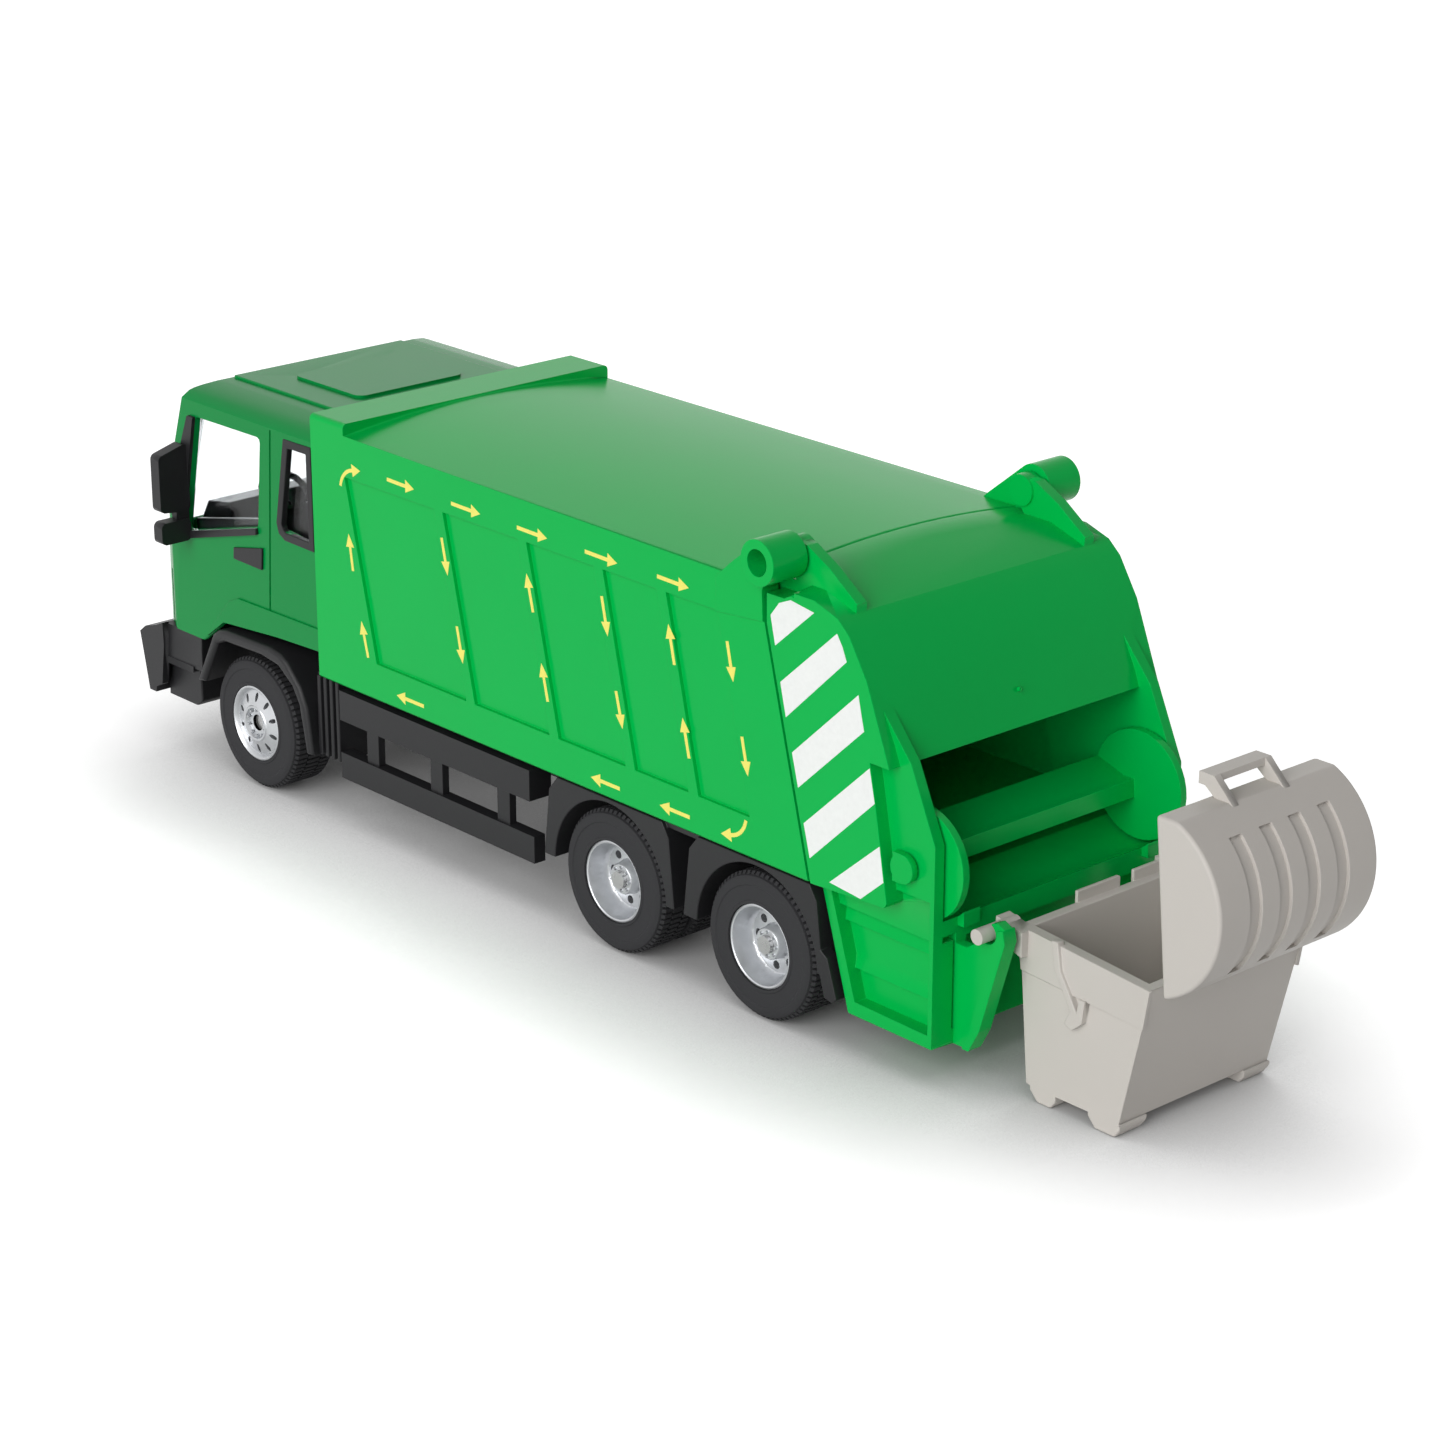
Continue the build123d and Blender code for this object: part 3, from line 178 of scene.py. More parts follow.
class Shader:
    """Node tree of one material, or of the world."""

    def __init__(self, name: str, owner: Optional[bpy.types.World] = None) -> None:
        """Starts an empty tree.

        Args:
            name: Name of the material that is made.
            owner: The world, where the tree is the world's.
        """
        self.owner = owner or bpy.data.materials.new(name)
        self.owner.use_nodes = True
        self.tree = self.owner.node_tree
        self.tree.nodes.clear()

    def node(self, kind: str, settings: Optional[dict] = None, inputs: Optional[dict] = None,
             output: Optional[Union[int, str]] = 0) -> Optional[Signal]:
        """Adds a node of any kind.

        Args:
            kind: Blender's type name of the node.
            settings: The node's own settings, set before its sockets.
            inputs: Values or signals by socket name or number.
            output: The output to return, or None for a node that has none.

        Returns:
            The chosen output.
        """
        made = self.tree.nodes.new(kind)
        for key, value in (settings or {}).items():
            setattr(made, key, value)
        for key, value in (inputs or {}).items():
            if isinstance(value, Signal):
                self.tree.links.new(value.socket, made.inputs[key])
            else:
                made.inputs[key].default_value = value
        return None if output is None else Signal(self, made.outputs[output])

    def place(self) -> Signal:
        """Object coordinates of the surface."""
        return self.node("ShaderNodeTexCoord", output="Object")

    def noise(self, scale: Number, detail: Number) -> Signal:
        """Fractal noise on Object coordinates.

        Args:
            scale: Waves to the metre.
            detail: Octaves.

        Returns:
            The noise from 0 to 1.
        """
        inputs = {"Vector": self.place(), "Scale": scale, "Detail": detail}
        return self.node("ShaderNodeTexNoise", {"noise_dimensions": "3D"}, inputs, "Fac")

    def blend(self, mask: Signal, first: Colour, second: Colour) -> Signal:
        """Mixes two colours.

        Args:
            mask: 0 gives the first colour and 1 the second.
            first: A colour.
            second: A colour.

        Returns:
            The mixed colour.
        """
        inputs = {0: mask, 6: first, 7: second}
        return self.node("ShaderNodeMix", {"data_type": "RGBA"}, inputs, 2)

    def bump(self, height: Signal, distance: Number) -> Signal:
        """Turns a height into a normal.

        Args:
            height: Height from 0 to 1.
            distance: Height of 1 in metres.

        Returns:
            The bumped normal.
        """
        inputs = {"Strength": 1.0, "Distance": distance, "Height": height}
        return self.node("ShaderNodeBump", {}, inputs, "Normal")

    def seen(self) -> Signal:
        """1 for rays that show the background, also in gloss or through glass, and 0 for others."""
        kinds = ("Is Camera Ray", "Is Glossy Ray", "Is Transmission Ray")
        first, second, third = (self.node("ShaderNodeLightPath", output=kind) for kind in kinds)
        return first + second + third

    def surface(self, inputs: dict) -> bpy.types.Material:
        """Ends the tree in a Principled shader with these inputs and returns the material."""
        return self.finish(self.node("ShaderNodeBsdfPrincipled", {}, inputs, "BSDF"))

    def finish(self, closure: Signal) -> Union[bpy.types.Material, bpy.types.World]:
        """Ends the tree.

        Args:
            closure: What the tree's output shows.

        Returns:
            What the tree belongs to.
        """
        kind = "World" if isinstance(self.owner, bpy.types.World) else "Material"
        self.node(f"ShaderNodeOutput{kind}", {}, {"Surface": closure}, None)
        return self.owner


# Finishes: waves are counted to the metre, and heights of grain are in metres

WHITE = (1.0, 1.0, 1.0, 1.0)
GREEN_SHINE = (0.25, 1.0, 0.5, 1.0)


@dataclass(frozen=True)
class MouldedPlastic:
    """Injection-moulded plastic, with faint flow marks and a light grain."""

    name: str
    colour: Colour
    roughness: float
    grain: float
    variation: float                              # share by which the flow marks are darker or lighter
    shine: float = 0.3
    shine_tint: Colour = WHITE
    flow_waves: float = 55.0
    flow_rough: float = 0.08
    grain_waves: float = 2600.0
    grain_rough: float = 0.05
    refraction: float = 1.48

    def build(self) -> bpy.types.Material:
        """Makes the material.

        Returns:
            The material.
        """
        shader = Shader(self.name)
        flow = shader.noise(self.flow_waves, 3.0)
        fine = shader.noise(self.grain_waves, 2.0)
        dark = toned(self.colour, 1 - self.variation)
        light = toned(self.colour, 1 + self.variation)
        return shader.surface({
            "Base Color": shader.blend(flow, dark, light),
            "Roughness": fine.around(flow.around(self.roughness, self.flow_rough), self.grain_rough),
            "IOR": self.refraction,
            "Specular IOR Level": self.shine,
            "Specular Tint": self.shine_tint,
            "Normal": shader.bump(fine, self.grain),
        })


@dataclass(frozen=True)
class CastPaint:
    """Sprayed gloss paint over a die casting."""

    name: str
    colour: Colour
    shine: float
    shine_tint: Colour
    thin: float = 0.93                            # share of the colour where the paint is thin
    pool_waves: float = 90.0
    pool_rough: float = 0.06
    roughness: float = 0.26
    peel_waves: float = 420.0
    peel: float = 0.000004

    def build(self) -> bpy.types.Material:
        """Makes the material.

        Returns:
            The material.
        """
        shader = Shader(self.name)
        pool = shader.noise(self.pool_waves, 2.0)
        peel = shader.noise(self.peel_waves, 1.0)
        return shader.surface({
            "Base Color": shader.blend(pool, toned(self.colour, self.thin), self.colour),
            "Roughness": pool.around(self.roughness, self.pool_rough),
            "Specular IOR Level": self.shine,
            "Specular Tint": self.shine_tint,
            "Normal": shader.bump(peel, self.peel),
        })


@dataclass(frozen=True)
class PlatedSilver:
    """Vacuum-plated or silver-painted plastic, and bright steel wire."""

    name: str
    colour: Colour
    roughness: float
    clouded: float = 0.8                          # share of the colour where the plating is cloudy
    metallic: float = 0.85
    cloud_waves: float = 700.0
    cloud_rough: float = 0.14
    grain_waves: float = 6000.0
    grain: float = 0.000003

    def build(self) -> bpy.types.Material:
        """Makes the material.

        Returns:
            The material.
        """
        shader = Shader(self.name)
        cloud = shader.noise(self.cloud_waves, 3.0)
        grain = shader.noise(self.grain_waves, 1.0)
        return shader.surface({
            "Base Color": shader.blend(cloud, toned(self.colour, self.clouded), self.colour),
            "Metallic": self.metallic,
            "Roughness": cloud.around(self.roughness, self.cloud_rough),
            "Normal": shader.bump(grain, self.grain),
        })


@dataclass(frozen=True)
class SoftRubber:
    """Dull black tyre compound with dusty patches."""

    name: str
    colour: Colour
    dusty: float = 1.7                            # share of the colour where dust lies
    roughness: float = 0.78
    shine: float = 0.35
    dust_waves: float = 420.0
    dust_rough: float = 0.2
    grain_waves: float = 5200.0
    grain: float = 0.000012

    def build(self) -> bpy.types.Material:
        """Makes the material.

        Returns:
            The material.
        """
        shader = Shader(self.name)
        dust = shader.noise(self.dust_waves, 4.0)
        grain = shader.noise(self.grain_waves, 2.0)
        return shader.surface({
            "Base Color": shader.blend(dust, self.colour, toned(self.colour, self.dusty)),
            "Roughness": dust.around(self.roughness, self.dust_rough),
            "Specular IOR Level": self.shine,
            "Normal": shader.bump(grain, self.grain),
        })


@dataclass(frozen=True)
class ClearPane:
    """Clear moulded window or lens."""

    name: str
    tint: Colour
    clear: float = 1.0                            # share of the light that passes
    smoothest: float = 0.04
    film_waves: float = 160.0
    film_rough: float = 0.03
    refraction: float = 1.2

    def build(self) -> bpy.types.Material:
        """Makes the material.

        Returns:
            The material.
        """
        shader = Shader(self.name)
        film = shader.noise(self.film_waves, 2.0)
        return shader.surface({
            "Base Color": self.tint,
            "Roughness": self.smoothest + film * self.film_rough,
            "Transmission Weight": self.clear,
            "IOR": self.refraction,
        })


@dataclass(frozen=True)
class PrintedInk:
    """Pad-printed ink, thin and slightly uneven."""

    name: str
    colour: Colour
    dull: float = 0.9                             # share of the colour where the ink is thin
    roughness: float = 0.42
    thin_waves: float = 1500.0
    thin_rough: float = 0.1

    def build(self) -> bpy.types.Material:
        """Makes the material.

        Returns:
            The material.
        """
        shader = Shader(self.name)
        thin = shader.noise(self.thin_waves, 3.0)
        return shader.surface({
            "Base Color": shader.blend(thin, toned(self.colour, self.dull), self.colour),
            "Roughness": thin.around(self.roughness, self.thin_rough),
        })


@dataclass(frozen=True)
class StudioWhite:
    """White sweep that shows as plain white and keeps the toy's shadow."""

    name: str
    albedo: float                                 # white that lights the toy
    seen_albedo: float                            # white that is seen, without its glow
    glow: float
    contact: float                                # reach of the contact shadow in metres
    samples: int = 4

    def build(self) -> bpy.types.Material:
        """Makes the material.

        Returns:
            The material.
        """
        shader = Shader(self.name)
        seen = shader.seen()
        level = self.albedo + seen * (self.seen_albedo - self.albedo)
        grey = shader.node("ShaderNodeCombineColor", {}, {0: level, 1: level, 2: level})
        matt = shader.node("ShaderNodeBsdfDiffuse", {}, {"Color": grey})
        reach = {"Distance": self.contact}
        open_sky = shader.node("ShaderNodeAmbientOcclusion", {"samples": self.samples}, reach, "AO")
        glow = seen * (open_sky * open_sky * self.glow)
        lit = shader.node("ShaderNodeEmission", {}, {"Color": WHITE, "Strength": glow})
        return shader.finish(shader.node("ShaderNodeAddShader", {}, {0: matt, 1: lit}))


FINISHES = {finish.name: finish for finish in (
    MouldedPlastic("green_plastic", linear(0, 180, 76), roughness=0.24, grain=0.000003, variation=0.04,
                   shine=0.2, shine_tint=GREEN_SHINE),
    CastPaint("green_paint", linear(0, 138, 63), shine=0.2, shine_tint=GREEN_SHINE),
    MouldedPlastic("black_plastic", linear(32, 32, 34), roughness=0.44, grain=0.000006, variation=0.12),
    MouldedPlastic("grey_plastic", linear(200, 195, 189), roughness=0.44, grain=0.000004, variation=0.02,
                   shine=0.25),
    PlatedSilver("silver_rim", linear(205, 207, 210), roughness=0.34),
    SoftRubber("tyre", linear(36, 36, 38)),
    PlatedSilver("steel", linear(190, 190, 190), roughness=0.28),
    ClearPane("window", (0.8, 0.82, 0.83, 1.0)),
    ClearPane("lamp", (0.8, 0.82, 0.85, 1.0), clear=0.3),
    PrintedInk("white_print", linear(246, 248, 246)),
    PrintedInk("yellow_print", linear(250, 240, 112)),
)}
MATERIALS: dict[str, bpy.types.Material] = {}


def material(name: str) -> bpy.types.Material:
    """Gives a finish's material, made on first use.

    Args:
        name: Name of the finish.

    Returns:
        The material.
    """
    if name not in MATERIALS:
        MATERIALS[name] = FINISHES[name].build()
    return MATERIALS[name]


# Mesh helpers

def face_angle(edge: BMEdge) -> float:
    """Angle between an edge's two faces, or 0 for an open edge."""
    return edge.calc_face_angle(0.0) if len(edge.link_faces) == 2 else 0.0


def room(edge: BMEdge) -> float:
    """Length of the shortest edge that meets an edge at its ends, or its own."""
    return min(near.calc_length() for vert in edge.verts for near in vert.link_edges)


def bevel(mesh: BMesh, edges: Sequence[BMEdge], width: float, segments: int) -> None:
    """Rounds chosen edges.

    Args:
        mesh: The mesh to change.
        edges: The edges to round.
        width: Width of the rounding in metres.
        segments: Steps across the rounding.
    """
    bmesh.ops.bevel(mesh, geom=edges, offset=width, offset_type="OFFSET", segments=segments, profile=0.5,
                    affect="EDGES", clamp_overlap=True, loop_slide=True, material=-1)


def round_edges(mesh: BMesh, width: float, segments: int) -> None:
    """Rounds the sharp edges of a closed mesh, and those beside its finest details a little less.

    Args:
        mesh: The mesh to change.
        width: Width of the rounding in metres.
        segments: Steps across the rounding.
    """
    sharp = [edge for edge in mesh.edges if face_angle(edge) > math.radians(SHARP_ANGLE)]
    roomy = [edge for edge in sharp if room(edge) > ROOMY * width]
    tight = [edge for edge in sharp if TIGHT * width < room(edge) <= ROOMY * width]
    for chosen, share in ((roomy, 1.0), (tight, TIGHT_SHARE)):
        bevel(mesh, [edge for edge in chosen if edge.is_valid], width * share, segments)


def copy_of(node: str) -> BMesh:
    """Copies a solid's mesh, joins its triangles and dissolves its flat faces.

    Args:
        node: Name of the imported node.

    Returns:
        A new mesh with whole flat faces.
    """
    mesh = bmesh.new()
    mesh.from_mesh(NODES[node].data)
    bmesh.ops.remove_doubles(mesh, verts=mesh.verts, dist=CAD_MERGE)
    bmesh.ops.dissolve_limit(mesh, angle_limit=math.radians(FLAT_ANGLE), use_dissolve_boundaries=False,
                             verts=mesh.verts, edges=mesh.edges, delimit=set())
    mesh.normal_update()
    return mesh


def place_piece(mesh: BMesh, name: str, finish: str, body: Body,
                replaces: Sequence[str] = (), smooth: float = 38.0) -> None:
    """Turns a mesh into a finished piece of the toy.

    Args:
        mesh: The mesh in metres, in the frame's axes. It is freed.
        name: Name of the piece.
        finish: Name of its finish.
        body: Body that it moves with.
        replaces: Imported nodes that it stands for.
        smooth: Edges under this angle in degrees are shaded smooth.
    """
    data = bpy.data.meshes.new(name)
    for face in mesh.faces:
        face.smooth = True
    mesh.to_mesh(data)
    mesh.free()
    data.set_sharp_from_angle(angle=math.radians(smooth))
    data.materials.append(material(finish))
    piece = bpy.data.objects.new(name, data)
    bpy.context.scene.collection.objects.link(piece)
    weighted = piece.modifiers.new("face_weight", "WEIGHTED_NORMAL")
    weighted.keep_sharp = True
    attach(piece, body.value)
    if replaces:
        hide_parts(*replaces)
    LOG.info("%s: %d faces on %s", name, len(data.polygons), body.value)


def both_sides(make: Callable[[], BMesh], name: str, finish: str, body: Body) -> None:
    """Makes a piece on the left of the truck, and its mirror image on the right.

    Args:
        make: Gives the left piece's mesh.
        name: Name of the pieces, without their side.
        finish: Name of their finish.
        body: Body that they move with.
    """
    for side in Side:
        mesh = make()
        if side is Side.RIGHT:
            mirrored(mesh)
        place_piece(mesh, f"{name}_{side.word}", finish, body)


def corners_of(geometry: Iterable[object]) -> list[BMVert]:
    """Picks the vertices out of what an operator made."""
    return [item for item in geometry if isinstance(item, BMVert)]


def prism(points: Sequence[Point], y0: float, y1: float) -> BMesh:
    """Extrudes an x-z outline along Y.

    Args:
        points: The outline's corners in millimetres.
        y0: First side in millimetres.
        y1: Other side in millimetres.

    Returns:
        The closed prism.
    """
    mesh = bmesh.new()
    corners = [mesh.verts.new((x * MM, y0 * MM, z * MM)) for x, z in points]
    flat = mesh.faces.new(corners)
    far = corners_of(bmesh.ops.extrude_face_region(mesh, geom=[flat])["geom"])
    bmesh.ops.translate(mesh, verts=far, vec=(0, (y1 - y0) * MM, 0))
    bmesh.ops.recalc_face_normals(mesh, faces=mesh.faces)
    return mesh


def join(meshes: Iterable[BMesh]) -> BMesh:
    """Puts several meshes into one.

    Args:
        meshes: The meshes. They are freed.

    Returns:
        The joined mesh.
    """
    whole = bmesh.new()
    for mesh in meshes:
        data = bpy.data.meshes.new("joined")
        mesh.to_mesh(data)
        mesh.free()
        whole.from_mesh(data)
        bpy.data.meshes.remove(data)
    return whole


def mirrored(mesh: BMesh) -> None:
    """Mirrors a mesh to the other side of the truck, with its faces outwards."""
    bmesh.ops.scale(mesh, vec=(1, -1, 1), verts=mesh.verts)
    bmesh.ops.reverse_faces(mesh, faces=mesh.faces)


def moved(mesh: BMesh, x: float, y: float, z: float) -> BMesh:
    """Shifts a mesh, in metres, and returns it."""
    bmesh.ops.translate(mesh, verts=mesh.verts, vec=(x, y, z))
    return mesh


def rotate(mesh: BMesh, angle: float, axis: str, verts: Optional[Sequence[BMVert]] = None) -> None:
    """Turns a mesh about an axis through the origin.

    Args:
        mesh: The mesh to turn.
        angle: Angle in radians.
        axis: Letter of the axis.
        verts: The vertices to turn, where not all are.
    """
    bmesh.ops.rotate(mesh, cent=(0, 0, 0), matrix=Matrix.Rotation(angle, 3, axis),
                     verts=mesh.verts if verts is None else verts)


def turned(profile: Sequence[Point], steps: int) -> BMesh:
    """Spins a (y, radius) profile round the Y axis.

    Args:
        profile: Points in millimetres, from one end to the other.
        steps: Faces round the axis.

    Returns:
        The ring, open where the profile is.
    """
    mesh = bmesh.new()
    points = [mesh.verts.new((0, y * MM, radius * MM)) for y, radius in profile]
    edges = [mesh.edges.new(pair) for pair in zip(points, points[1:])]
    bmesh.ops.spin(mesh, geom=points + edges, cent=(0, 0, 0), axis=(0, 1, 0), dvec=(0, 0, 0),
                   angle=math.tau, steps=steps, use_merge=True, use_normal_flip=False, use_duplicate=False)
    bmesh.ops.remove_doubles(mesh, verts=mesh.verts, dist=SPIN_MERGE)
    bmesh.ops.recalc_face_normals(mesh, faces=mesh.faces)
    return mesh


def ring_of(seed: BMesh, count: int, offset: float = 0.0) -> BMesh:
    """Repeats a mesh round the Y axis.

    Args:
        seed: The mesh to repeat, which becomes the ring.
        count: Number of copies.
        offset: Turn of the first copy, as a share of the step.

    Returns:
        All copies as one mesh.
    """
    rotate(seed, math.tau / count * offset, "Y")
    latest = list(seed.verts) + list(seed.edges) + list(seed.faces)
    for _ in range(count - 1):
        latest = bmesh.ops.duplicate(seed, geom=latest)["geom"]
        rotate(seed, math.tau / count, "Y", corners_of(latest))
    return seed


def from_header(points: Iterable[Point]) -> list[Point]:
    """Moves x-z points, given from the header's front face, to their places in the frame."""
    return [(x + HEADER_X, z) for x, z in points]


def side_print(outline: Iterable[Point]) -> BMesh:
    """Thin print on the left side, with an x-z outline in millimetres from the header's front face."""
    return prism(from_header(outline), BODY_Y - PRINT_SUNK, BODY_Y + PRINT_PROUD)


# Sub-assemblies: their lengths are in millimetres, x from the header's front face, z from the ground

@dataclass(frozen=True)
class SoftEdges:
    """Edges of a moulding inside a box that are rounded more than its others, on both sides."""

    box: Box                                      # least and most x, distance from the middle, and z
    width: float
    segments: int = 4
    over: float = 30.0                            # least angle between the faces in degrees

    def holds(self, point: Vector) -> bool:
        """Whether a point, or its mirror image, lies in the box."""
        place = (point.x / MM - HEADER_X, abs(point.y) / MM, point.z / MM)
        return all(low <= value <= high for value, (low, high) in zip(place, self.box))

    def apply(self, mesh: BMesh) -> int:
        """Rounds the edges.

        Args:
            mesh: The moulding's mesh.

        Returns:
            The number of edges that were rounded.
        """
        chosen = [edge for edge in mesh.edges if face_angle(edge) > math.radians(self.over)
                  and edge.is_convex and all(self.holds(vert.co) for vert in edge.verts)]
        count = len(chosen)
        bevel(mesh, chosen, self.width * MM, self.segments)
        return count


@dataclass(frozen=True)
class Straighten:
    """Line of corners across a moulding that is shifted a little along X."""

    corner: Point
    shift: float
    reach: float = 0.2

    def apply(self, mesh: BMesh) -> None:
        """Shifts the corners.

        Args:
            mesh: The moulding's mesh.
        """
        spot = Vector(((self.corner[0] + HEADER_X) * MM, self.corner[1] * MM))
        near = [vert for vert in mesh.verts if (vert.co.xz - spot).length < self.reach * MM]
        bmesh.ops.translate(mesh, verts=near, vec=(self.shift * MM, 0, 0))
        LOG.info("%d corners shifted by %.2f mm", len(near), self.shift)


@dataclass
class Moulding:
    """One moulded piece that keeps its solid's form and gets rounded edges."""

    node: str
    finish: str
    body: Body
    rounding: float
    segments: int = 2
    soft: tuple[SoftEdges, ...] = ()
    straighten: tuple[Straighten, ...] = ()

    def build(self) -> None:
        """Makes the piece."""
        mesh = copy_of(self.node)
        for line in self.straighten:
            line.apply(mesh)
        count = sum(region.apply(mesh) for region in self.soft)
        round_edges(mesh, self.rounding * MM, self.segments)
        LOG.info("%s: %d soft edges", self.node, count)
        place_piece(mesh, f"{self.node}_moulding", self.finish, self.body, [self.node])


@dataclass(frozen=True)
class PiercedRing:
    """Ring with holes through it, across the Y axis."""

    inner: float                                  # radii of the ring
    outer: float
    slope: float                                  # how far the inner edge stands out past the outer one
    hole_radius: float                            # radius of the circle that the holes stand on
    hole_long: float                              # half a hole's length along the radius
    hole_wide: float                              # half a hole's width
    count: int
    deep: float                                   # depth of the holes' walls
    corners: int = 24                             # corners of a hole

    def loop(self, sector: BMesh, polar: Sequence[Point]) -> list[BMEdge]:
        """Draws a closed loop on the ring's slope.

        Args:
            sector: The mesh to draw in.
            polar: The loop's points as (radius, angle).

        Returns:
            The loop's edges.
        """
        verts = []
        for radius, angle in polar:
            y = self.slope * (self.outer - radius) / (self.outer - self.inner)
            place = Vector((radius * math.sin(angle), y, radius * math.cos(angle)))
            verts.append(sector.verts.new(place * MM))
        return [sector.edges.new(pair) for pair in zip(verts, verts[1:] + verts[:1])]

    def build(self) -> BMesh:
        """Makes the ring from one sector.

        Returns:
            The ring with its holes' walls.
        """
        half = math.pi / self.count
        border, mouth = [], []
        for index in range(self.corners):
            turn = math.tau * index / self.corners
            along, across = math.cos(turn), math.sin(turn)
            reach = 1 / max(abs(along), abs(across))
            radius = (self.inner + self.outer) / 2 + along * reach * (self.outer - self.inner) / 2
            border.append((radius, across * reach * half))
            mouth.append((self.hole_radius + self.hole_long * along,
                          self.hole_wide * across / self.hole_radius))
        sector = bmesh.new()
        border_edges = self.loop(sector, border)
        mouth_edges = self.loop(sector, mouth)
        bmesh.ops.bridge_loops(sector, edges=border_edges + mouth_edges)
        sunk = corners_of(bmesh.ops.extrude_edge_only(sector, edges=mouth_edges)["geom"])
        bmesh.ops.translate(sector, verts=sunk, vec=(0, -self.deep * MM, 0))
        whole = ring_of(sector, self.count)
        bmesh.ops.remove_doubles(whole, verts=whole.verts, dist=SECTOR_MERGE)
        bmesh.ops.recalc_face_normals(whole, faces=whole.faces)
        if sum(face.normal.y * face.calc_area() for face in whole.faces) < 0:
            bmesh.ops.reverse_faces(whole, faces=whole.faces)
        return whole


@dataclass(frozen=True)
class BoltRing:
    """Ring of small round bolt heads."""

    radius: float                                 # radius of the bolt circle
    size: float                                   # radius of a head's foot
    count: int
    seat: float                                   # place of the heads in front of the disc's face
    high: float = 0.36
    rise: float = 0.14                            # height of a head's middle over its seat
    taper: float = 0.72                           # radius of its top as a share of its foot's
    corners: int = 10

    def build(self, face: float) -> BMesh:
        """Makes the bolt heads.

        Args:
            face: Place of the disc's face along Y.

        Returns:
            All heads as one mesh.
        """
        head = bmesh.new()
        bmesh.ops.create_cone(head, cap_ends=True, segments=self.corners, radius1=self.size * MM,
                              radius2=self.size * self.taper * MM, depth=self.high * MM)
        rotate(head, -math.pi / 2, "X")
        moved(head, 0, (face + self.seat + self.rise) * MM, self.radius * MM)
        return ring_of(head, self.count)


@dataclass(frozen=True)
class DiscForm:
    """Form of a plated disc, with sections as points (place in front of its face, radius)."""

    wall: tuple[Point, ...]                       # from the lip to the ring's outer edge
    hub: tuple[Point, ...]                        # from the ring's inner edge to the axle
    ring: PiercedRing
    bolts: BoltRing
    shade_disc: float                                # depth of the black disc that shows through the holes: painted shade where the wheel is hollow


FLAT_DISC = DiscForm(
    wall=((-0.35, 5.3), (-0.55, 5.15)),
    hub=((0.15, 2.9), (0.32, 2.75), (0.3, 2.45), (-0.25, 2.2), (-0.3, 1.28)),
    ring=PiercedRing(2.9, 5.15, 0.7, hole_radius=4.15, hole_long=0.72, hole_wide=0.34, count=10, deep=1.4),
    bolts=BoltRing(2.05, 0.24, count=10, seat=-0.12),
    shade_disc=2.2,
)
DISHED_DISC = DiscForm(
    wall=((-0.5, 5.32), (-2.0, 4.9), (-2.65, 4.75), (-2.9, 4.5)),
    hub=((-2.9, 2.55), (-2.55, 2.4), (-1.35, 2.25), (-1.2, 2.1), (-1.2, 1.28)),
    ring=PiercedRing(2.55, 4.5, 0.0, hole_radius=3.5, hole_long=0.62, hole_wide=0.62, count=8, deep=1.6),
    bolts=BoltRing(1.72, 0.26, count=8, seat=-1.2),
    shade_disc=4.6,
)


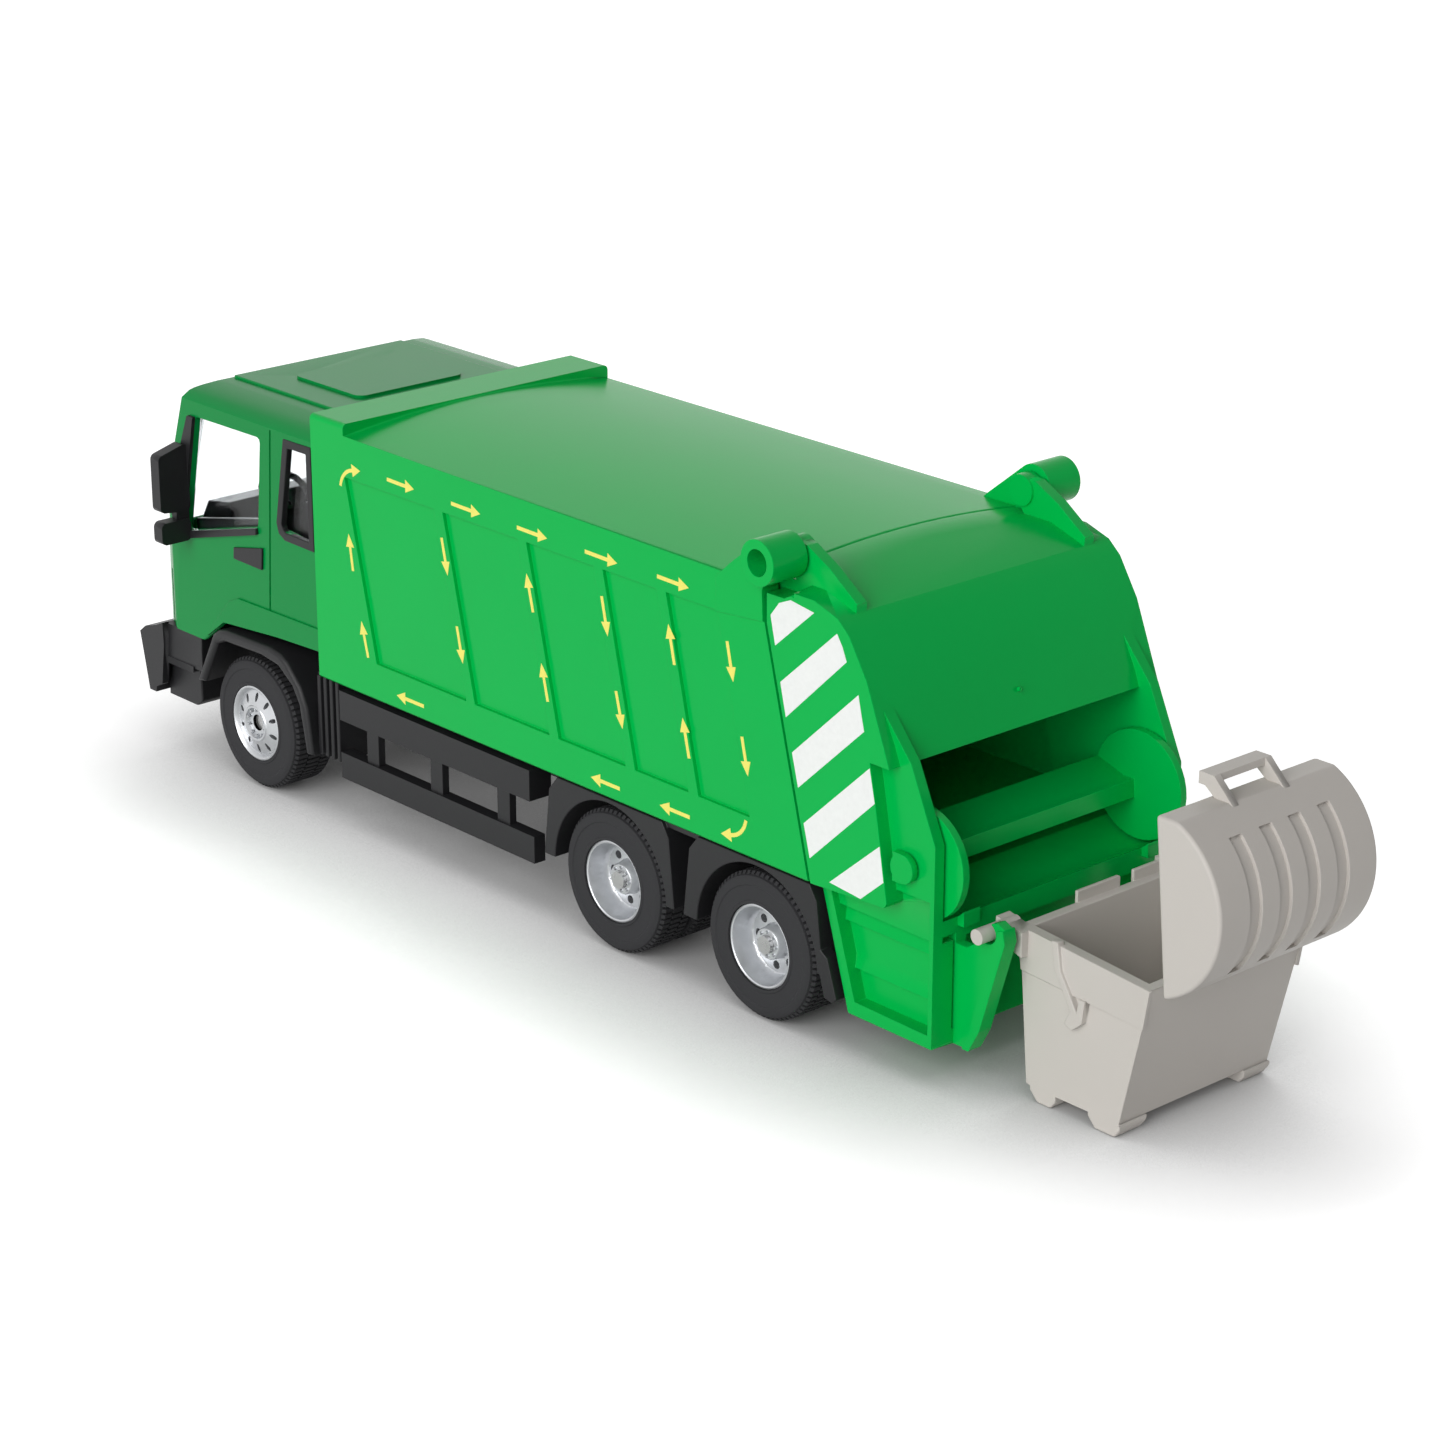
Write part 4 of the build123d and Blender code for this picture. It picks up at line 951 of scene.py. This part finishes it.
@dataclass
class Wheel:
    """Tyre with its tread, and the plated disc inside it."""

    axle: str
    body: Body
    form: DiscForm
    twin: bool                                    # whether two tyres stand side by side
    tooth_count: int = 70
    tooth_high: float = 0.32
    tooth_long: float = 0.56
    tooth_foot: float = 0.3                       # how deep a tooth reaches into the tyre
    tooth_cut: float = 0.45                       # how far the outer teeth slope in towards their tops
    rows: int = 3
    row_gap: float = 0.3
    shoulder: float = 0.25                        # plain strip on each side of the teeth
    wall_step: float = 0.12                       # how far the tyre's wall lies behind its edges
    seat: float = 6.02                            # radius of the tyre's hole
    rim: float = 6.0                              # radius of the disc
    bore: float = 1.28                            # radius of the axle's hole
    lip_proud: float = 0.2                        # how far the disc's lip stands out of its face
    back_plate: float = 0.6                       # place of the plate that closes the disc behind
    twin_gap: float = 0.7
    band_half: float = 0.6                        # the band that joins twin tyres: half width and radius
    band_radius: float = 7.8
    tyre_steps: int = 140
    lip_steps: int = 96
    hub_steps: int = 64
    plate_steps: int = 48
    tyre_smooth: float = 30.0
    disc_smooth: float = 42.0

    def tyre_profile(self, inner: float, outer: float, radius: float) -> list[Point]:
        """Section of one tyre without its teeth.

        Args:
            inner: Inner face along Y.
            outer: Outer face along Y.
            radius: Radius under the teeth.

        Returns:
            The closed section as (y, radius) points.
        """
        side = [(0.0, self.seat), (0.0, self.seat + 0.35), (-self.wall_step, self.seat + 0.5),
                (-self.wall_step, radius - 1.6), (0.0, radius - 1.45), (0.0, radius - 0.75),
                (-0.25, radius - 0.25), (-0.8, radius)]
        left = [(outer + y, r) for y, r in side]
        right = [(inner - y, r) for y, r in reversed(side)]
        return left + right + left[:1]

    def teeth(self, inner: float, outer: float, radius: float) -> BMesh:
        """Rows of small blocks round the tread.

        Args:
            inner: Inner face along Y.
            outer: Outer face along Y.
            radius: Radius under the teeth.

        Returns:
            All blocks as one mesh.
        """
        wide = (outer - inner - 2 * self.shoulder) / self.rows
        size = Vector((self.tooth_long, wide - self.row_gap, self.tooth_high + self.tooth_foot))
        high = radius + (self.tooth_high - self.tooth_foot) / 2
        blocks = []
        for row in range(self.rows):
            middle = inner + self.shoulder + wide * (row + 0.5)
            block = bmesh.new()
            bmesh.ops.create_cube(block, size=1.0)
            bmesh.ops.scale(block, vec=size * MM, verts=block.verts)
            under = [face for face in block.faces if face.normal.z < -0.5]
            bmesh.ops.delete(block, geom=under, context="FACES_ONLY")
            moved(block, 0, middle * MM, high * MM)
            if row in (0, self.rows - 1):
                sign = -1 if row == 0 else 1
                edge = [vert for vert in block.verts
                        if (vert.co.y - middle * MM) * sign > 0 and vert.co.z > high * MM]
                bmesh.ops.translate(block, verts=edge, vec=(0, -self.tooth_cut * sign * MM, 0))
            blocks.append(ring_of(block, self.tooth_count, 0.5 * (row % 2)))
        return join(blocks)

    def ends(self, node: str) -> tuple[float, float]:
        """Inner and outer end of a wheel's node along Y, on the left."""
        low, high = sorted(abs(corner.y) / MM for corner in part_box(node))
        return low, high

    def fit(self, mesh: BMesh, side: Side, node: str, word: str, finish: str, smooth: float) -> None:
        """Sets a mesh made for the left at its wheel's place.

        Args:
            mesh: The mesh round the Y axis.
            side: The wheel's side.
            node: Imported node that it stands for.
            word: Ending of its name.
            finish: Name of its finish.
            smooth: Edges under this angle in degrees are shaded smooth.
        """
        low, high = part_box(node)
        if side is Side.RIGHT:
            mirrored(mesh)
        moved(mesh, (low.x + high.x) / 2, 0, (low.z + high.z) / 2)
        place_piece(mesh, f"{node}_{word}", finish, self.body, [node], smooth)

    def tyre(self, side: Side) -> None:
        """Makes one tyre, or twin tyres with the band between them.

        Args:
            side: The wheel's side.
        """
        node = f"tyre_{self.axle}_{side.word}"
        low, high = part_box(node)
        radius = (high.z - low.z) / 2 / MM - self.tooth_high
        back, front = self.ends(node)
        middle = (back + front) / 2
        spans = [(back, front)]
        if self.twin:
            spans = [(back, middle - self.twin_gap / 2), (middle + self.twin_gap / 2, front)]
        parts = []
        for inner, outer in spans:
            parts.append(turned(self.tyre_profile(inner, outer, radius), self.tyre_steps))
            parts.append(self.teeth(inner, outer, radius))
        if self.twin:
            near, far = middle + self.band_half, middle - self.band_half
            band = [(near, self.seat), (near, self.band_radius), (far, self.band_radius), (far, self.seat)]
            parts.append(turned(band, self.tyre_steps))
        # black disc behind the plated disc's holes: painted shade where the wheel is hollow
        shade_disc = front - self.form.shade_disc
        parts.append(turned([(shade_disc, self.seat), (shade_disc, self.bore)], self.plate_steps))
        self.fit(join(parts), side, node, "rubber", "tyre", self.tyre_smooth)

    def disc(self, side: Side) -> None:
        """Makes the plated disc of one wheel.

        Args:
            side: The wheel's side.
        """
        node = f"rim_{self.axle}_{side.word}"
        back, front = self.ends(node)
        face = front - self.lip_proud
        lip = [(back, self.rim), (face - 0.1, self.rim), (face + 0.12, 5.92), (face + self.lip_proud, 5.7),
               (face + 0.1, 5.5)]
        wall = [(face + y, radius) for y, radius in self.form.wall]
        hub = [(face + y, radius) for y, radius in self.form.hub]
        plate = back + self.back_plate
        mesh = join([
            turned(lip + wall, self.lip_steps),
            turned(hub, self.hub_steps),
            moved(self.form.ring.build(), 0, wall[-1][0] * MM, 0),
            self.form.bolts.build(face),
            turned([(plate, self.rim), (plate, self.bore)], self.plate_steps),
        ])
        bmesh.ops.remove_doubles(mesh, verts=mesh.verts, dist=CAD_MERGE)
        self.fit(mesh, side, node, "disc", "silver_rim", self.disc_smooth)

    def build(self) -> None:
        """Makes both wheels of the axle and dresses its rod."""
        for side in Side:
            self.tyre(side)
            self.disc(side)
        NODES[f"axle_{self.axle}"].data.materials.clear()
        NODES[f"axle_{self.axle}"].data.materials.append(material("steel"))


@dataclass
class SideArrows:
    """Yellow arrows printed on the container's sides."""

    shaft: float = 0.55
    head_wide: float = 1.9
    head_long: float = 2.0
    bend_radius: float = 3.6
    bend_steps: int = 8
    bends: tuple = (((-10.6, 54.2), 10, 80), ((-91.0, 29.3), 190, 260))     # centre, first and last angle
    arrows: tuple = (                                                       # tail and tip
        ((-18.3, 58.3), (-24.6, 58.2)), ((-33.1, 58.1), (-39.6, 58.0)), ((-47.7, 58.0), (-54.2, 57.9)),
        ((-62.2, 58.0), (-68.9, 57.9)), ((-77.0, 58.1), (-83.3, 58.0)),
        ((-25.5, 25.8), (-19.1, 25.8)), ((-69.0, 25.7), (-62.9, 25.7)), ((-83.4, 25.8), (-77.3, 25.8)),
        ((-9.4, 42.4), (-8.6, 47.9)), ((-12.4, 29.8), (-11.0, 35.1)),
        ((-30.7, 52.5), (-31.9, 47.2)), ((-33.7, 40.1), (-34.9, 34.8)),
        ((-50.9, 46.5), (-49.6, 51.8)), ((-53.8, 34.2), (-52.5, 39.5)),
        ((-65.6, 52.5), (-66.8, 47.1)), ((-68.4, 39.7), (-69.7, 34.6)),
        ((-80.4, 46.6), (-79.2, 52.0)), ((-83.3, 34.2), (-82.0, 39.6)),
        ((-90.8, 52.6), (-92.0, 47.3)), ((-93.7, 40.2), (-94.9, 35.0)),
    )

    def straight(self, tail: Point, tip: Point) -> BMesh:
        """One straight arrow.

        Args:
            tail: Start of the arrow.
            tip: Point of its head.

        Returns:
            The thin print.
        """
        start, end = Vector(tail), Vector(tip)
        along = (end - start).normalized()
        across = Vector((-along.y, along.x))
        neck = end - along * self.head_long
        half_shaft, half_head = across * self.shaft / 2, across * self.head_wide / 2
        return side_print([start + half_shaft, neck + half_shaft, neck + half_head, end,
                           neck - half_head, neck - half_shaft, start - half_shaft])

    def bent(self, centre: Point, first: float, last: float) -> BMesh:
        """Arrow on a quarter turn.

        Args:
            centre: Middle of the arc.
            first: Angle of the arrow's tail in degrees.
            last: Angle where its head begins.

        Returns:
            The thin print.
        """
        middle = Vector(centre)
        outer, inner = [], []
        for index in range(self.bend_steps + 1):
            turn = math.radians(first + (last - first) * index / self.bend_steps)
            spoke = Vector((math.cos(turn), math.sin(turn)))
            outer.append(middle + spoke * (self.bend_radius + self.shaft / 2))
            inner.append(middle + spoke * (self.bend_radius - self.shaft / 2))
        ahead = Vector((-spoke.y, spoke.x))
        base = middle + spoke * self.bend_radius
        head = [base + spoke * self.head_wide / 2, base + ahead * self.head_long,
                base - spoke * self.head_wide / 2]
        return side_print(outer + head + inner[::-1])

    def left(self) -> BMesh:
        """All arrows of the left side."""
        straight = [self.straight(*arrow) for arrow in self.arrows]
        return join(straight + [self.bent(*bend) for bend in self.bends])

    def build(self) -> None:
        """Makes the print of each side."""
        both_sides(self.left, "side_arrows", "yellow_print", Body.TRUCK)


@dataclass
class WarningStripes:
    """White slanting bars printed on the tailgate's side plates."""

    bars: tuple = (
        ((-99.1, 58.3), (-100.7, 60.3), (-102.8, 61.2), (-107.2, 60.6), (-100.0, 54.4)),
        ((-101.0, 49.7), (-111.4, 58.9), (-112.4, 57.4), (-113.2, 55.6), (-102.1, 45.2)),
        ((-103.3, 40.7), (-115.4, 51.8), (-115.9, 49.6), (-116.5, 47.2), (-104.5, 36.2)),
        ((-105.6, 31.6), (-117.6, 42.6), (-118.6, 38.1), (-106.8, 27.1)),
        ((-110.5, 24.9), (-119.6, 32.6), (-120.4, 27.9), (-116.3, 24.4)),
    )

    def left(self) -> BMesh:
        """All bars of the left side."""
        return join(side_print(bar) for bar in self.bars)

    def build(self) -> None:
        """Makes the bars of each side."""
        both_sides(self.left, "warning_stripes", "white_print", Body.TAILGATE)


@dataclass
class WindowRubber:
    """Black rubber frame round the small window behind each door."""

    proud: float = 0.15
    deep: float = 0.9
    wide: float = 1.3
    outline: tuple = ((8.3, 58.4), (10.8, 44.9), (10.3, 43.3), (8.8, 42.5), (1.4, 42.4), (1.4, 58.5))

    def left(self) -> BMesh:
        """Left frame.

        Returns:
            The closed frame.
        """
        mesh = bmesh.new()
        outer = [mesh.verts.new((x * MM, CAB_Y * MM, z * MM)) for x, z in from_header(self.outline)]
        face = mesh.faces.new(outer)
        mesh.normal_update()
        bmesh.ops.inset_individual(mesh, faces=[face], thickness=self.wide * MM, depth=0.0,
                                   use_even_offset=True)
        bmesh.ops.delete(mesh, geom=[face], context="FACES_ONLY")
        front = corners_of(bmesh.ops.extrude_face_region(mesh, geom=list(mesh.faces))["geom"])
        bmesh.ops.translate(mesh, verts=front, vec=(0, (self.deep + self.proud) * MM, 0))
        moved(mesh, 0, -self.deep * MM, 0)
        bmesh.ops.recalc_face_normals(mesh, faces=mesh.faces)
        round_edges(mesh, self.proud * MM, 2)
        return mesh

    def build(self) -> None:
        """Makes the frame of each side."""
        both_sides(self.left, "window_rubber", "black_plastic", Body.TRUCK)


@dataclass
class ArchFlare:
    """Low swelling of the cab's side above each front wheel."""

    proud: float = 0.34
    sunk: float = 0.05
    rounded: float = 0.9                          # rounding as a share of its height
    outline: tuple = ((30.3, 22.1), (26.6, 26.6), (24.1, 29.2), (21.6, 30.3), (0.8, 30.6),
                      (0.8, 27.1), (11.4, 26.6), (25.7, 25.4))

    def left(self) -> BMesh:
        """Left swelling.

        Returns:
            The rounded strip.
        """
        mesh = prism(from_header(self.outline), CAB_Y - self.sunk, CAB_Y + self.proud)
        round_edges(mesh, self.proud * self.rounded * MM, 4)
        return mesh

    def build(self) -> None:
        """Makes the swelling of each side."""
        both_sides(self.left, "arch_flare", "green_paint", Body.TRUCK)


@dataclass
class SprueMark:
    """Little round mark where the tailgate's cover left its mould."""

    place: tuple = (-119.5, 0.0, 47.7)            # on the cover
    lean: float = 12.5                            # degrees that the cover leans back there
    radius: float = 0.32
    proud: float = 0.12
    deep: float = 0.3
    steps: int = 20

    def build(self) -> None:
        """Makes the mark."""
        mesh = turned([(-self.deep, self.radius), (self.proud * 0.5, self.radius),
                       (self.proud, self.radius * 0.75), (self.proud, self.radius * 0.5),
                       (0.0, self.radius * 0.35)], self.steps)
        bmesh.ops.holes_fill(mesh, edges=mesh.edges, sides=0)
        rotate(mesh, math.pi / 2, "Z")
        rotate(mesh, math.radians(self.lean), "Y")
        x, y, z = self.place
        moved(mesh, (x + HEADER_X) * MM, y * MM, z * MM)
        bmesh.ops.recalc_face_normals(mesh, faces=mesh.faces)
        place_piece(mesh, "sprue_mark", "green_plastic", Body.TAILGATE)


@dataclass
class Studio:
    """White floor, plain light and the camera."""

    reach: float = 6.0                            # metres from the middle to the floor's edges
    drop: float = 0.00005                         # metres that it lies under the tyres
    focal: float = 94.364
    sensor: float = 36.0
    clip: tuple = (0.01, 30.0)                    # nearest and farthest that the camera sees, in metres
    place: tuple = (-435.80, 335.52, 213.30)      # millimetres, from the header's front face
    right: tuple = (-0.66785378, -0.7442922, 0.0006635)
    up: tuple = (0.25896073, -0.23152966, 0.93772776)
    world_level: float = 0.2
    key_from: tuple = (-0.32, 1.1, 0.44)
    key_level: float = 0.82
    fill_from: tuple = (1.0, -0.8, 0.16)
    fill_level: float = 0.6
    softness: float = 55.0                        # width of both lamps in the sky, in degrees

    def floor(self) -> None:
        """Makes the white floor."""
        mesh = bmesh.new()
        bmesh.ops.create_grid(mesh, x_segments=1, y_segments=1, size=self.reach)
        moved(mesh, 0, 0, -self.drop)
        data = bpy.data.meshes.new("studio_floor")
        mesh.to_mesh(data)
        mesh.free()
        white = StudioWhite("studio_floor", albedo=0.8, seen_albedo=0.46, glow=0.92, contact=0.036)
        data.materials.append(white.build())
        floor = bpy.data.objects.new("studio_floor", data)
        bpy.context.scene.collection.objects.link(floor)

    def lamp(self, name: str, place: Sequence[float], level: float) -> bpy.types.Object:
        """Adds a wide soft light from far away.

        Args:
            name: Name of the lamp.
            place: Direction that it comes from.
            level: Share of a surface's own colour that it gives, where it strikes square.

        Returns:
            The lamp.
        """
        data = bpy.data.lights.new(name, "SUN")
        data.energy = level * math.pi
        data.angle = math.radians(self.softness)
        lamp = bpy.data.objects.new(name, data)
        lamp.location = place
        lamp.rotation_euler = (-Vector(place)).to_track_quat("-Z", "Y").to_euler()
        bpy.context.scene.collection.objects.link(lamp)
        return lamp

    def world(self) -> None:
        """Gives even light, and plain white where the background shows past the floor."""
        shader = Shader("studio_world", bpy.data.worlds.new("studio_world"))
        level = self.world_level + shader.seen() * (1.0 - self.world_level)
        inputs = {"Color": WHITE, "Strength": level}
        bpy.context.scene.world = shader.finish(shader.node("ShaderNodeBackground", {}, inputs))

    def camera(self) -> None:
        """Sets the camera at the photo's place and angle."""
        data = bpy.data.cameras.new("photo_camera")
        data.lens = self.focal
        data.sensor_width = self.sensor
        data.clip_start, data.clip_end = self.clip
        camera = bpy.data.objects.new("photo_camera", data)
        right, up = Vector(self.right), Vector(self.up)
        turn = Matrix((right, up, right.cross(up))).transposed().to_4x4()
        x, y, z = self.place
        camera.matrix_world = Matrix.Translation(Vector((x + HEADER_X, y, z)) * MM) @ turn
        bpy.context.scene.collection.objects.link(camera)
        bpy.context.scene.camera = camera

    def build(self) -> None:
        """Makes the whole studio."""
        self.camera()
        self.floor()
        self.world()
        self.lamp("key_lamp", self.key_from, self.key_level)
        self.lamp("fill_lamp", self.fill_from, self.fill_level).visible_glossy = False
        bpy.context.scene.view_settings.view_transform = "Standard"


ANYWHERE = (-400.0, 400.0)
LID_ENDS = SoftEdges((ANYWHERE, (14.7, 15.0), ANYWHERE), 0.9)
LID_TOP = SoftEdges(((-160.5, -155.0), (0.0, 14.0), (44.5, 46.0)), 0.7)
HOPPER_FOOT = SoftEdges(((-128.0, -105.0), (0.0, 23.1), (6.0, 6.4)), 0.7)
FORK_TOPS = SoftEdges(((-137.5, -131.0), (17.0, 19.5), (8.0, 25.5)), 0.45, segments=3)
BIN_CORNERS = SoftEdges(((-158.0, -133.0), (14.2, 14.4), (1.9, 20.0)), 0.6)
BIN_FEET = SoftEdges(((-158.0, -133.0), (9.0, 14.4), (-0.1, 1.3)), 0.5)
CAB_SIDES = SoftEdges(((0.0, 45.0), (17.0, 24.1), (58.5, 62.0)), 0.8)
CAB_CORNERS = SoftEdges(((33.0, 44.0), (21.0, 24.1), (20.0, 62.0)), 0.9)
FENDER_EDGE = SoftEdges(((-1.0, 33.0), (25.1, 25.3), (9.0, 26.0)), 0.7)
ROOF_STEPS = SoftEdges(((0.0, 40.0), (0.0, 20.0), (61.4, 62.2)), 0.38, over=20.0)
BUMPER_EDGE = SoftEdges(((41.0, 50.0), (0.0, 26.0), (8.0, 22.0)), 0.5, segments=3)
COVER_CREASE = Straighten((-118.6, 45.9), -1.45)


def mouldings() -> list[Moulding]:
    """Lists the plain mouldings with their finishes, bodies and roundings.

    Returns:
        The mouldings in the order in which they are made.
    """
    truck = Body.TRUCK
    pieces = [
        Moulding("container", "green_plastic", truck, 0.3),
        Moulding("tailgate", "green_plastic", Body.TAILGATE, 0.3, soft=(HOPPER_FOOT, FORK_TOPS),
                 straighten=(COVER_CREASE,)),
        Moulding("packer_scoop", "green_plastic", Body.SCOOP, 0.15),
        Moulding("waste_bin", "grey_plastic", Body.BIN, 0.2, soft=(BIN_CORNERS, BIN_FEET)),
        Moulding("bin_lid", "grey_plastic", Body.LID, 0.2, soft=(LID_ENDS, LID_TOP)),
        Moulding("cab_shell", "green_paint", truck, 0.35, 3, soft=(ROOF_STEPS, CAB_SIDES, CAB_CORNERS)),
        Moulding("cab_glazing", "window", truck, 0.05, 1),
        Moulding("cab_interior", "black_plastic", truck, 0.25),
        Moulding("steering_wheel", "black_plastic", truck, 0.12),
        Moulding("grille", "black_plastic", truck, 0.1),
        Moulding("front_bumper", "black_plastic", truck, 0.3, soft=(BUMPER_EDGE,)),
        Moulding("chassis_frame", "black_plastic", truck, 0.15, 1),
    ]
    paired = (("door_handle", "black_plastic", 0.1, ()), ("mirror", "black_plastic", 0.15, ()),
              ("headlamp", "lamp", 0.08, ()), ("front_fender", "black_plastic", 0.2, (FENDER_EDGE,)),
              ("side_guard", "black_plastic", 0.25, ()), ("mudguard", "black_plastic", 0.2, ()))
    return pieces + [Moulding(f"{word}_{side.word}", finish, truck, rounding, soft=soft)
                     for side in Side for word, finish, rounding, soft in paired]


def main() -> None:
    """Builds the studio and every piece in order."""
    logging.basicConfig(level=logging.INFO, format="%(name)s: %(message)s")
    Studio().build()
    wheels = [Wheel("front", Body.FRONT, FLAT_DISC, twin=False),
              Wheel("middle", Body.MIDDLE, DISHED_DISC, twin=True),
              Wheel("rear", Body.REAR, DISHED_DISC, twin=True)]
    trims = [SideArrows(), WarningStripes(), WindowRubber(), ArchFlare(), SprueMark()]
    for part in mouldings() + wheels + trims:
        part.build()


if __name__ == "__main__":
    main()
